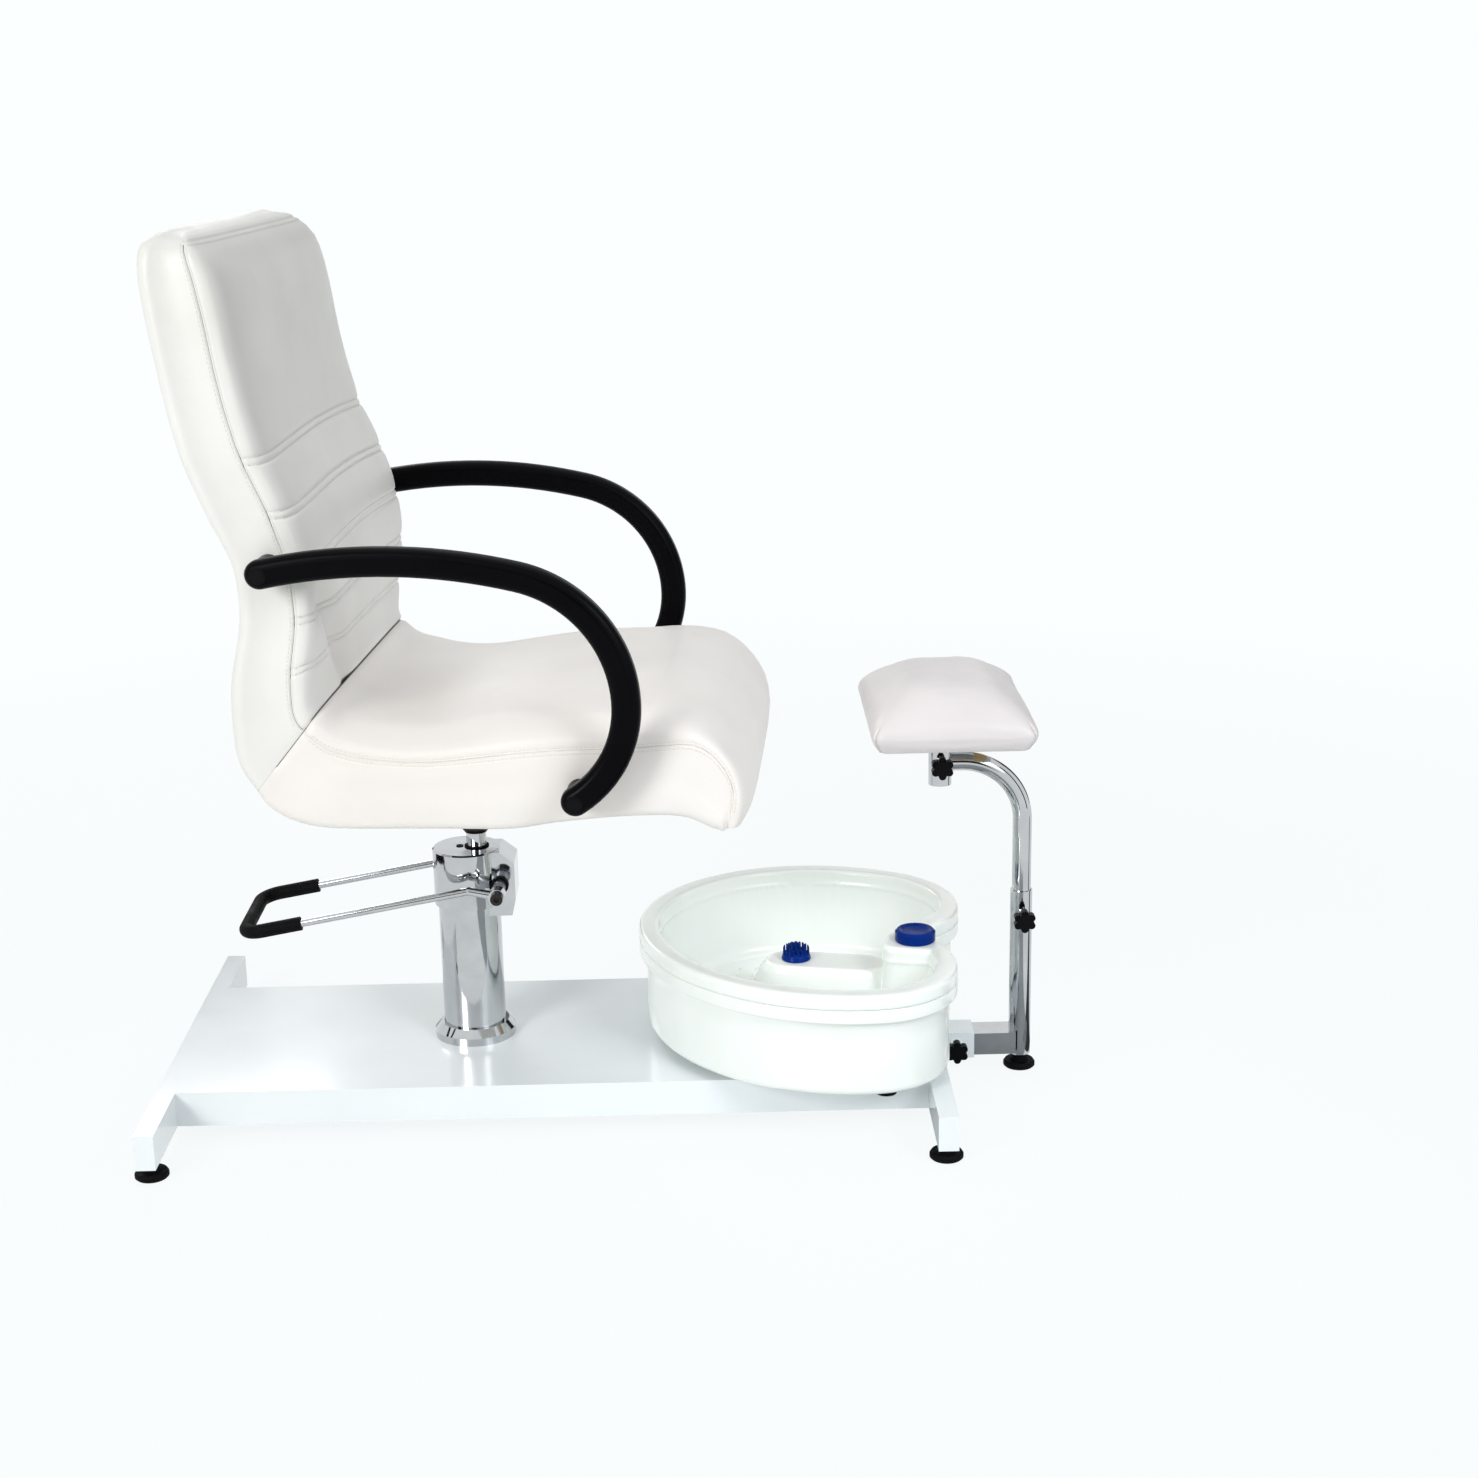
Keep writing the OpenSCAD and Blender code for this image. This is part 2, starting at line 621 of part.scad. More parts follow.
// Back rows that carry a sewn channel, and half a channel's width as a share of a row.
channels = [3, 4, 5, 6, 7];
channel_half = 0.13;
back_stations = concat([0, 0.5, 1, 1.5, 2, 2.5],
  [for (c = channels) each [c - channel_half, c, c + channel_half, c + 0.5]],
  [8, 9, 10, 11, 12, 13, 14, 15]);
seat_stations = [0, 0.5, 1, 1.5, 2, 3, 4, 5, 6, 7, 8, 9, 10, 10.5, 11, 11.5, 12, 12.5, 13, 13.5, 14, 15, 16, 17];
// A row with its crown's direction.
function directed(row) = len(row) > 6 ? row : concat(row, [atan2(row[3] - row[1], row[2] - row[0])]);
function pick(rows, i) = directed(rows[max(0, min(len(rows) - 1, i))]);
// A smooth curve through the rows.
function row_at(rows, t) =
  let(i = max(0, min(floor(t), len(rows) - 2)), f = t - i,
      a = pick(rows, i - 1), b = pick(rows, i), c = pick(rows, i + 1), d = pick(rows, i + 2))
  0.5 * (2 * b + (c - a) * f + (2 * a - 5 * b + 4 * c - d) * f * f + (3 * b - a - 3 * c + d) * f * f * f);
function has(list, t) = len([for (c = list) if (c == t) c]) > 0;
function depth_of(row) = norm([row[2] - row[0], row[3] - row[1]]);
// A point of a row: v across the chair, s from the rear face to the seam and on into the crown.
function row_point(row, v, s) =
  let(d = depth_of(row), share = min(s / d, 1), over = max(s - d, 0) * [cos(row[6]), sin(row[6])])
  [row[0] + (row[2] - row[0]) * share + over[0], v, seat_z + row[1] + (row[3] - row[1]) * share + over[1]];
edge_r = 14;
crown_power = 3.6;
front_steps = [14, 27, 40, 53, 66, 78, 90];
function side_v(row, share) = row[5] - side_draw * sin(180 * share);
// Half a section, from the middle of the rear face to the middle of the crown: [v, s, on the front].
function half_section(row, dip) =
  let(h = row[5], d = depth_of(row), r = min(edge_r, d / 3), c = row[4])
  concat([[0, 0, 0], [(h - r) / 2, 0, 0], [h - r, 0, 0], [h - r * 0.29, r * 0.29, 0], [h, r, 0]],
    [for (f = [1 / 3, 2 / 3]) [side_v(row, f), r + (d - r) * f, 0]], [[h - 1, d, 0]],
    [for (a = front_steps) [h * pow(cos(a), 2 / crown_power), d + (c - dip) * pow(sin(a), 2 / crown_power), 1]]);
function cushion_ring(rows, t, dip, arch) =
  let(row = row_at(rows, t), half = half_section(row, dip), n = len(half))
  concat([for (p = half) warped(rows, t, row, p, 1, arch)],
    [for (i = [n - 2:-1:1]) warped(rows, t, row, half[i], -1, arch)]);
function warped(rows, t, row, p, side, arch) =
  let(rise = p[2] * arch * (1 - pow(p[0] / row[5], 2)), moved = row_at(rows, t + rise))
  row_point(moved, side * p[0], p[1] + depth_of(moved) - depth_of(row));
function arch_at(t) = channel_arch * max(0, min(1, t / 3)) * max(0, min(1, (12 - t) / 4));
// The shell's strip inside both cushions.
shell_back = [for (t = [12:-0.5:0]) t];
shell_seat = [for (t = [0.5:0.5:10]) t];
function strip(s) = concat([for (t = shell_back) let(p = row_point(row_at(back_rows, t), 0, s)) [p[0], p[2]]],
  [for (t = shell_seat) let(p = row_point(row_at(seat_rows, t), 0, s)) [p[0], p[2]]]);
function turned_back(list) = [for (i = [len(list) - 1:-1:0]) list[i]];
// Armrest curve in the chair's XZ plane.
arm_rear = [-176, 752];
arm_rear_lean = 11.5;
arm_front_lean = 13.3;
arm_front_turn = 58;
function polar(r, a) = r * [cos(a), sin(a)];
arm_c1 = arm_rear - polar(arm_top_r, 90 + arm_rear_lean);
arm_c2 = arm_c1 + polar(arm_top_r - arm_shoulder_r, 90 - arm_front_lean);
arm_c3 = arm_c2 + [arm_shoulder_r - arm_front_r, 0];
arm_front = arm_c3 + polar(arm_front_r, -arm_front_turn);
arm_bolt_d = 8;
arm_bolt_head_d = 14;
arm_bolt_head_h = 5;
arm_recess = 11;
arm_plug_t = 4;
block_size = 50;
block_lap = 12;
arm_side = half_w - side_draw;
module arm_bolt_places() {
  for (p = [arm_rear, arm_front]) translate([p[0], 0, p[1]]) children();
}
module shell_solid() {
  rotate([90, 0, 0]) translate([0, 0, -shell_w / 2]) linear_extrude(shell_w)
    polygon(concat(strip(shell_inset), turned_back(strip(shell_inset + shell_t))));
  both_sides() arm_bolt_places() translate([-block_size / 2, shell_w / 2 - block_lap, -block_size / 2])
    cube([block_size, half_w - shell_inset - shell_w / 2 + block_lap, block_size]);
}
seat_bolt_top = seat_z + shell_inset + shell_t / 2;
module plywood_shell() {
  color("#c9a36b") in_chair() difference() {
    shell_solid();
    seat_bolt_places() translate([0, 0, seat_z]) cylinder(h = 2 * shell_inset + shell_t, d = seat_bolt_d + bolt_fit);
    both_sides() arm_bolt_places() rod_y(half_w - 60, half_w, arm_bolt_d + bolt_fit);
  }
}
module seat_cushion() {
  color(leatherette) in_chair() difference() {
    loft(turned_back([for (t = seat_stations) cushion_ring(seat_rows, t, 0, 0)]));
    shell_solid();
    seat_bolt_places() translate([0, 0, seat_z - 1]) cylinder(h = shell_inset + 2, d = seat_bolt_d + 4, $fn = 24);
    both_sides() translate([arm_front[0], 0, arm_front[1]]) rod_y(half_w - 20, half_w + 1, arm_bolt_d + 2, 24);
  }
}
module back_cushion() {
  color(leatherette) in_chair() difference() {
    loft([for (t = back_stations)
      cushion_ring(back_rows, t, has(channels, t) ? channel_depth : 0, arch_at(t))]);
    shell_solid();
    both_sides() translate([arm_rear[0], 0, arm_rear[1]]) rod_y(half_w - 20, half_w + 1, arm_bolt_d + 2, 24);
  }
}
module seat_bolts() {
  head_h = 5;
  color(steel) in_chair() seat_bolt_places() {
    translate([0, 0, hub_z1 - head_h]) cylinder(h = head_h, d = seat_bolt_d * 1.8, $fn = 6);
    translate([0, 0, hub_z1 - eps]) cylinder(h = seat_bolt_top - hub_z1, d = seat_bolt_d);
  }
}

// ---- armrests ----
// A quarter of the rounded section, then the whole of it.
arm_corner = [for (a = [0:15:90]) [arm_t / 2 - arm_round, arm_w / 2 - arm_round] + arm_round * [cos(a), sin(a)]];
function flipped(list, fx, fy) = [for (p = list) [fx * p[0], fy * p[1]]];
arm_half = concat(turned_back(flipped(arm_corner, 1, -1)), arm_corner);
module arm_section() { polygon(concat(arm_half, turned_back(flipped(arm_half, -1, 1)))); }
module arm_half_section() { polygon(concat([[0, -arm_w / 2]], arm_half, [[0, arm_w / 2]])); }
module arm_arc(c, r, a0, a1) {
  translate([c[0], 0, c[1]]) rotate([90, 0, 0]) rotate([0, 0, a0])
    rotate_extrude(angle = a1 - a0, $fn = 128) translate([r, 0]) arm_section();
}
// The rounded end of an armrest around its bolt, half a turn from angle a0.
module arm_end(p, a0) {
  translate([p[0], 0, p[1]]) rotate([90, 0, 0]) rotate([0, 0, a0]) rotate_extrude(angle = 180)
    arm_half_section();
}
spacer_d = 30;
module armrest() {
  difference() {
    union() {
      arm_arc(arm_c1, arm_top_r, 90 - arm_front_lean, 90 + arm_rear_lean);
      arm_arc(arm_c2, arm_shoulder_r, 0, 90 - arm_front_lean);
      arm_arc(arm_c3, arm_front_r, 0, -arm_front_turn);
      arm_end(arm_rear, 90 + arm_rear_lean);
      arm_end(arm_front, 180 - arm_front_turn);
      arm_bolt_places() rod_y(-(arm_y - half_w) + gap, 0, spacer_d);
    }
    arm_bolt_places() {
      rod_y(arm_w / 2 - arm_recess, arm_w, arm_plug_d);
      rod_y(-arm_gap, arm_w, arm_bolt_d + bolt_fit);
    }
  }
}
module arm_places() { both_sides() translate([0, arm_y, 0]) arm_bolt_places() children(); }
module armrest_near() { color(black) in_chair() mirror([0, 1, 0]) translate([0, arm_y, 0]) armrest(); }
module armrest_far() { color(black) in_chair() translate([0, arm_y, 0]) armrest(); }
module arm_bolts() {
  seat = arm_w / 2 - arm_recess;
  color(steel) in_chair() arm_places() {
    rod_y(seat, seat + arm_bolt_head_h, arm_bolt_head_d);
    rod_y(-(arm_y - half_w) - 45, seat + eps, arm_bolt_d);
  }
}
module arm_plugs() {
  color(black) in_chair() arm_places() {
    rod_y(arm_w / 2 - arm_plug_t, arm_w / 2 + 0.6, arm_plug_d);
    rod_y(arm_w / 2 + 0.6 - eps, arm_w / 2 + 1.4, arm_plug_d - 4);
  }
}

// ---- leg rest ----
module slide_tube() {
  x0 = front_x - slide_in;
  color(chrome) placed() difference() {
    translate([x0, 0, slide_z]) tube_x(post_x - sleeve_d / 4 - x0, slide_w, slide_h, slide_wall);
    translate([post_x, 0, 0]) cylinder(h = 4 * slide_z, d = sleeve_d);
  }
}
sleeve_in_d = post_d + 2 * slide_fit;
sleeve_plug_h = 14;
module post_sleeve() {
  color(chrome) placed() translate([post_x, 0, 0]) difference() {
    union() {
      translate([0, 0, sleeve_z0]) cylinder(h = sleeve_z1 - sleeve_z0, d = sleeve_d);
      translate([0, 0, sleeve_knob_z]) rod_y(-sleeve_d / 2 - nut_l, 0, nut_d);
    }
    translate([0, 0, sleeve_z0 + sleeve_plug_h]) cylinder(h = sleeve_z1, d = sleeve_in_d);
    translate([0, 0, sleeve_z0 - eps]) cylinder(h = sleeve_plug_h + 1, d = stud_d + 2 * run);
    translate([0, 0, sleeve_knob_z]) rod_y(-sleeve_d, 0, knob_screw_d + 2 * run);
  }
}
module foot_legrest() {
  color(black) placed() translate([post_x, 0, 0]) foot_shape(stud_top);
}
post_wall = 1.8;
post_in_d = post_d - 2 * post_wall;
post_plug_flange = 6;
module post_plug() {
  color(black) placed() translate([post_x, 0, post_z0 - gap]) {
    translate([0, 0, -post_plug_flange]) cylinder(h = post_plug_flange, d = post_d);
    translate([0, 0, -eps]) cylinder(h = 20, d = post_in_d - 2 * run);
  }
}
// The post's bent line, from z0 up to the bend and back to the barrel's axis.
module post_path(d, z0) {
  bend_z = post_arm_z - post_bend_r;
  translate([post_x, 0, z0]) cylinder(h = bend_z - z0, d = d);
  translate([post_x - post_bend_r, 0, bend_z]) rotate([90, 0, 0])
    rotate_extrude(angle = 90, $fn = 96) translate([post_bend_r, 0]) circle(d = d);
  translate([barrel_x, 0, post_arm_z]) rotate([0, 90, 0]) cylinder(h = barrel_back - post_bend_r, d = d);
}
module post_tube() {
  color(chrome) placed() difference() {
    post_path(post_d, post_z0);
    post_path(post_in_d, post_z0 - 1);
    translate([barrel_x, 0, barrel_z0]) cylinder(h = barrel_h, d = barrel_d);
  }
}
barrel_z1 = barrel_z0 + barrel_h;
spindle_d = 20;
module pad_barrel() {
  color(chrome) placed() translate([barrel_x, 0, 0]) difference() {
    union() {
      translate([0, 0, barrel_z0]) cylinder(h = barrel_h, d = barrel_d);
      translate([0, 0, post_arm_z]) rod_y(-barrel_d / 2 - nut_l / 2, 0, nut_d);
    }
    translate([0, 0, barrel_z0 - 1]) cylinder(h = barrel_h + 2, d = spindle_d + 2 * run);
    translate([0, 0, post_arm_z]) rod_y(-barrel_d, 0, knob_screw_d + 2 * run);
  }
}
spindle_plate = 110;
spindle_plate_t = 4;
pad_screw_d = 6;
pad_screw_inset = 10;
module pad_screw_places() {
  for (x = [-1, 1]) both_sides()
    translate([barrel_x + x * (spindle_plate / 2 - pad_screw_inset), spindle_plate / 2 - pad_screw_inset, 0]) children();
}
module pad_spindle() {
  plate_z = pad_z - spindle_plate_t;
  color(chrome) placed() difference() {
    union() {
      translate([barrel_x, 0, barrel_z0 + 3]) cylinder(h = plate_z - barrel_z0 - 3 + eps, d = spindle_d);
      translate([barrel_x, 0, barrel_z1 + gap]) cylinder(h = plate_z - barrel_z1 - gap + eps, d = barrel_d);
      translate([barrel_x - spindle_plate / 2, -spindle_plate / 2, plate_z])
        cube([spindle_plate, spindle_plate, spindle_plate_t]);
    }
    pad_screw_places() translate([0, 0, plate_z - 1]) cylinder(h = spindle_plate_t + 2, d = pad_screw_d + bolt_fit);
  }
}
module pad_screws() {
  head_h = 3;
  color(steel) placed() pad_screw_places() {
    translate([0, 0, pad_z - spindle_plate_t - head_h]) cylinder(h = head_h, d = pad_screw_d * 2);
    translate([0, 0, pad_z - spindle_plate_t - eps]) cylinder(h = spindle_plate_t + pad_board_t - 2, d = pad_screw_d);
  }
}
module pad_board_block(grow = 0) {
  inset = 8;
  translate([barrel_x - pad_l / 2 + inset, -pad_w / 2 + inset, pad_z - grow])
    cube([pad_l - 2 * inset, pad_w - 2 * inset, pad_board_t + grow]);
}
module pad_board() {
  color("#c9a36b") placed() difference() {
    pad_board_block();
    pad_screw_places() translate([0, 0, pad_z - 1]) cylinder(h = pad_board_t - 1, d = pad_screw_d + bolt_fit);
  }
}
// Rows of [height share, growth beyond the board, corner radius].
pad_rows = [[0, -2, 10], [0.04, 0.25, 14], [0.16, 0.8, 18], [0.3, 1, 22], [0.46, 0.6, 26],
  [0.64, -0.4, 30], [0.8, -1.9, 34], [0.91, -3.5, 36], [0.98, -5.2, 30]];
function pad_corner(cx, cy, r, a0) = [for (a = [a0:18:a0 + 90]) [barrel_x + cx + r * cos(a), cy + r * sin(a)]];
function pad_ring(row) =
  let(g = row[0] == 0 ? row[1] : row[1] * pad_bulge, r = min(row[2], pad_l / 2 + g - 2),
      hx = pad_l / 2 + g - r, hy = pad_w / 2 + g - r,
      flat = concat(pad_corner(hx, hy, r, 0), pad_corner(-hx, hy, r, 90),
        pad_corner(-hx, -hy, r, 180), pad_corner(hx, -hy, r, 270)))
  [for (p = flat) [p[0], p[1], pad_z + row[0] * pad_h]];
module leg_pad() {
  color(leatherette) placed() difference() {
    loft(turned_back([for (row = pad_rows) pad_ring(row)]));
    pad_board_block(1);
  }
}

// ---- star knobs, with the screw along +Y ----
module star_knob(screw_l) {
  lobe_d = knob_d * 0.32;
  reach = (knob_d - lobe_d) / 2;
  collar = 5;
  color(black) {
    rod_y(-collar, 0, nut_d - 4);
    rod_y(-collar - knob_t, -collar + eps, knob_d * 0.72);
    for (k = [0:knob_lobes - 1]) rotate([0, (k + 0.5) * 360 / knob_lobes, 0]) translate([reach, 0, 0])
      rod_y(-collar - knob_t + 1.5, -collar, lobe_d);
    rod_y(-eps, screw_l, knob_screw_d);
  }
}
module socket_knob() {
  face = slide_w / 2 + slide_fit + socket_wall + nut_l + gap;
  placed() translate([front_x + socket_l / 2, -face, slide_z]) star_knob(face - slide_w / 2 - gap);
}
module sleeve_knob() {
  face = sleeve_d / 2 + nut_l + gap;
  placed() translate([post_x, -face, sleeve_knob_z]) star_knob(face - post_d / 2 - gap);
}
module barrel_knob() {
  face = barrel_d / 2 + nut_l / 2 + gap;
  placed() translate([barrel_x, -face, post_arm_z]) star_knob(face - spindle_d / 2 - gap);
}

// ---- foot bath: a heart outline of tangent arcs, drawn inwards by an offset ----
arc_steps = [7, 5, 8, 4];
lobe_c = [lobe_x, lobe_y];
function side_centre() =
  let(l = norm(lobe_c), p = side_r - tip_r, q = side_r - lobe_r, a = (p * p - q * q + l * l) / (2 * l),
      h = sqrt(p * p - a * a)) [lobe_x * a + lobe_y * h, lobe_y * a - lobe_x * h] / l;
side_c = side_centre();
notch_c = [lobe_x + sqrt(pow(lobe_r + notch_r, 2) - lobe_y * lobe_y), 0];
notch_x = notch_c[0] - notch_r;
function angle_of(v) = atan2(v[1], v[0]);
tip_end = angle_of(-side_c);
lobe_start = angle_of(lobe_c - side_c);
notch_half = angle_of([notch_c[0] - lobe_x, lobe_y]);
function arc(c, r, a0, a1, n) = [for (i = [0:n - 1]) c + polar(r, a0 + (a1 - a0) * i / n)];
// Half the outline, from the tip's middle to the notch's middle.
function half_outline(off) = concat(
  arc([0, 0], tip_r - off, 180, tip_end, arc_steps[0]), arc(side_c, side_r - off, tip_end, lobe_start, arc_steps[1]),
  arc(lobe_c, lobe_r - off, lobe_start, -notch_half, arc_steps[2]),
  arc(notch_c, notch_r + off, 180 - notch_half, 180, arc_steps[3]), [notch_c - [notch_r + off, 0]]);
function skewed(p) = [p[0] - bath_skew * p[1], p[1]];
function outline(off) = let(half = half_outline(off), n = len(half))
  [for (p = concat([for (p = half) [p[0], -p[1]]], [for (i = [n - 2:-1:1]) half[i]])) skewed(p)];
function bath_ring(off, z) = [for (p = outline(off)) [p[0], p[1], z]];
module bath_loft(profile) { loft([for (q = profile) bath_ring(q[0], q[1])]); }
casing_z = plate_top + bath_foot_h;
split_z = rim_z - rim_h;
tub_floor = casing_z + 18;
pod_d = 76;
dial_at = skewed([notch_x - 11, -35]);
head_at = skewed([112, -14]);
head_peg_d = 10;
draft = 10;
dish = 18;
module plan_capsule(x0, x1, r, z0, z1, r_top) {
  hull() {
    for (x = [x0, x1]) translate([x, 0, z0]) cylinder(h = 1, r = r, $fn = 32);
    for (x = [x0 + r - r_top, x1 - r + r_top]) translate([x, 0, z1 - 1]) cylinder(h = 1, r = r_top, $fn = 32);
  }
}
module ridge(off) {
  translate([0, head_at[1], 0])
    plan_capsule(84, notch_x - 74, 52 - off, tub_floor - 1 - off, ridge_z - off, 34 - off);
}
// The dial's pod, no nearer than edge to the outline.
module pod(off, edge) {
  intersection() {
    hull() {
      translate([dial_at[0] - 6, dial_at[1], tub_floor - 1 - off])
        cylinder(h = rim_z - tub_floor + 1, d = pod_d - 2 * off, $fn = 48);
      translate([dial_at[0], -pod_d / 2 + off, tub_floor - 1 - off]) cube([40, pod_d - 2 * off, rim_z - tub_floor + 1]);
    }
    linear_extrude(2 * rim_z) polygon(outline(edge));
  }
}
nub_pitch = 22;
nub_d = 7;
nub_h = 5;
module nubs() {
  for (s = [-1, 1]) for (i = [0:6]) for (j = [0:2])
    translate([10 + i * nub_pitch, s * (78 + j * nub_pitch), tub_floor - 1])
      hull() {
        cylinder(h = 1, d = nub_d, $fn = 8);
        translate([0, 0, nub_h]) cylinder(h = 1, d = nub_d / 2, $fn = 8);
      }
}
module bath_tub() {
  w = bath_wall;
  inner = rim_w + draft;
  color(mint) in_bath() difference() {
    union() {
      bath_loft([[inner + dish, tub_floor], [inner + 6, tub_floor + 5], [inner, tub_floor + 16],
        [rim_w, rim_z - 8], [rim_w - 2.5, rim_z - 2.4], [rim_w - 8, rim_z], [8, rim_z], [2.4, rim_z - 2.4],
        [0, rim_z - 8], [0, split_z + gap], [w, split_z + gap], [w, rim_z - 9], [w + 5, rim_z - w],
        [rim_w - w - 5, rim_z - w], [rim_w - w, rim_z - 9], [inner - w, tub_floor + 15],
        [inner + 4, tub_floor + 2], [inner + dish, tub_floor - w]]);
      ridge(0);
      pod(0, casing_step + bath_wall + 1);
      nubs();
    }
    ridge(w);
    pod(w, casing_step + 0.3);
    translate([dial_at[0], dial_at[1], rim_z - 2 * w]) cylinder(h = 3 * w, d = 8, $fn = 24);
    translate([head_at[0], head_at[1], ridge_z - 2 * w]) cylinder(h = 3 * w, d = head_peg_d + 2, $fn = 24);
  }
}
// The cord's gland, on the far side arc not far from the tip, with its axis pointing inwards.
gland_d = 14;
gland_z = casing_z + 40;
gland_turn = 30;
gland_side = polar(1, 180 - gland_turn);
gland_at = skewed(side_c + side_r * gland_side);
module at_gland() {
  translate([gland_at[0], gland_at[1], gland_z])
    rotate([0, 0, angle_of(gland_side + [0, bath_skew * gland_side[0]])]) rotate([0, -90, 0]) children();
}
module bath_casing() {
  w = bath_wall;
  s = casing_step;
  band_z = split_z - band_h;
  color(mint) in_bath() difference() {
    bath_loft([[s + w + 12, casing_z + w], [s + w + 2, casing_z + w + 3], [s + w, casing_z + w + 10],
      [s + w, band_z + w], [w, band_z + w], [w, split_z], [0, split_z], [0, band_z], [s, band_z],
      [s, casing_z + 9], [s + 3, casing_z + 2], [s + 11, casing_z]]);
    at_gland() cylinder(h = 40, d = gland_d + bolt_fit);
  }
}
bath_foot_out = lobe_r * 0.68;
front_bath_foot = lobe_c + polar(bath_foot_out, 62);
rear_bath_foot = tip_r * [-0.4, 0.5];
bath_foot_places = [for (p = [front_bath_foot, rear_bath_foot]) for (s = [-1, 1]) skewed([p[0], s * p[1]])];
module bath_feet() {
  color(black) in_bath() for (p = bath_foot_places) translate([p[0], p[1], plate_top + gap])
    cylinder(h = bath_foot_h - gap, d = bath_foot_d);
}
dial_shaft_d = 6;
module bath_dial() {
  color(blue) in_bath() translate([dial_at[0], dial_at[1], rim_z + gap]) rotate_extrude() polygon([[0, 0 - 24],
    [dial_shaft_d / 2, -24], [dial_shaft_d / 2, 0], [dial_d / 2 - 1, 0], [dial_d / 2, 1], [dial_d / 2, dial_h - 3],
    [dial_d / 2 - 3, dial_h], [dial_d / 2 - 6, dial_h], [dial_d / 2 - 10, dial_h - 2], [0, dial_h - 2.5]]);
}
switch_d = 19;
switch_h = 26;
module rotary_switch() {
  top = rim_z - bath_wall - 1;
  color(black) in_bath() difference() {
    translate([dial_at[0], dial_at[1], top - switch_h]) cylinder(h = switch_h, d = switch_d);
    translate([dial_at[0], dial_at[1], top - switch_h + 2]) cylinder(h = switch_h, d = dial_shaft_d + 2 * run);
  }
}
motor_d = 40;
motor_l = 56;
motor_shaft_d = 6;
motor_shaft_l = 10;
module vibration_motor() {
  color(steel) in_bath() translate([head_at[0] + 1.5 * motor_d, head_at[1], casing_z + bath_wall]) {
    cylinder(h = motor_l, d = motor_d);
    translate([0, 0, motor_l - eps]) cylinder(h = motor_shaft_l, d = motor_shaft_d);
  }
}
heater_l = lobe_x * 0.6;
heater_w = lobe_y * 0.64;
heater_t = 3;
module heating_plate() {
  color(steel) in_bath() for (s = [-1, 1])
    translate([heater_l / 4, s * lobe_y * 0.95 - heater_w / 2, tub_floor - bath_wall - heater_t])
      cube([heater_l, heater_w, heater_t - eps]);
}
module cord_gland() {
  color(black) in_bath() at_gland() {
    translate([0, 0, casing_step - 7]) cylinder(h = 6, d = gland_d + 4);
    translate([0, 0, casing_step - 1 - eps]) cylinder(h = bath_wall + 7, d = gland_d);
  }
}
// Rings of bristles on the dome: [count, radius].
bristle_rings = [[1, 0], [6, 6.2], [12, 12.2]];
dome_h = 11;
module massage_head() {
  color(blue) in_bath() translate([head_at[0], head_at[1], ridge_z + gap]) {
    translate([0, 0, -8]) cylinder(h = 8 + eps, d = head_peg_d);
    cylinder(h = 3, d = head_base_d);
    translate([0, 0, 3 - eps]) cylinder(h = dome_h - 3, d1 = head_base_d, d2 = head_base_d * 0.6);
    for (q = bristle_rings) for (k = [0:q[0] - 1]) rotate([0, 0, 360 * k / q[0]]) translate([q[1], 0, 4])
      cylinder(h = dome_h - 4 + bristle_l - q[1] * 0.5, d1 = bristle_d, d2 = bristle_d * 0.6, $fn = 16);
  }
}

base_plate();
rear_crossbar();
front_crossbar();
crossbar_plugs();
foot_nuts();
legrest_socket();
foot_rear_near();
foot_rear_far();
foot_front_near();
foot_front_far();
pump_flange();
pump_bolts();
cover_ring();
column_tube();
inner_cylinder();
pump_head();
filler_plug();
ram_seal();
pedal_bushes();
pedal_shaft();
pedal_fork();
pedal_grip();
pedal_bolts();
ram();
ram_piston();
seat_hub();
seat_bolts();
plywood_shell();
seat_cushion();
back_cushion();
armrest_near();
armrest_far();
arm_bolts();
arm_plugs();
slide_tube();
post_sleeve();
foot_legrest();
post_plug();
post_tube();
pad_barrel();
pad_spindle();
pad_screws();
pad_board();
leg_pad();
socket_knob();
sleeve_knob();
barrel_knob();
bath_tub();
bath_casing();
bath_feet();
bath_dial();
rotary_switch();
vibration_motor();
heating_plate();
massage_head();
cord_gland();
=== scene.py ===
# %% [markdown]
# A pedicure spa chair: a swivel armchair on a hydraulic foot pump, a low white base, a loose
# heart-shaped foot bath and a padded leg rest on a chromed post.
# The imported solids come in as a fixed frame. Every rigid part keeps its solid and gets a real
# finish. The soft parts and the bath are remodelled here, because upholstery and thin moulded
# plastic need finer surfaces than a solid for physics has.

# %% Load the frame
import json
import math

import bmesh
import bpy
import numpy as np
from mathutils import Matrix, Vector


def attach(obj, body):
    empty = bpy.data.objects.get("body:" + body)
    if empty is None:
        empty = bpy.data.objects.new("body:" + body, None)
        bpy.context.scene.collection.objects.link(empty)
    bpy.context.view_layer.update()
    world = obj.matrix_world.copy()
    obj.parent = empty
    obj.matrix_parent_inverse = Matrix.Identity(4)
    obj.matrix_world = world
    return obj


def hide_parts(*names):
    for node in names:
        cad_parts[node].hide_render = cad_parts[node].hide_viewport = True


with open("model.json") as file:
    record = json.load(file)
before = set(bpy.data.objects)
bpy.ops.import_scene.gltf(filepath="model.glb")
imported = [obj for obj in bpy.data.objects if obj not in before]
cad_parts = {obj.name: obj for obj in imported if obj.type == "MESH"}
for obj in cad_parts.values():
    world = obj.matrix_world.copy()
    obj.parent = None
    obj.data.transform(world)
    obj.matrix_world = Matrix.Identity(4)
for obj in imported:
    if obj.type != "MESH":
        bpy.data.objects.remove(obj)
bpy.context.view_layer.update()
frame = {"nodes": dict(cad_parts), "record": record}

# %% [markdown]
# The camera stands before the near side, a little above the back, and looks slightly down. It is
# worked out from straight edges of known length. Yaw, pitch and roll turn it in that order.

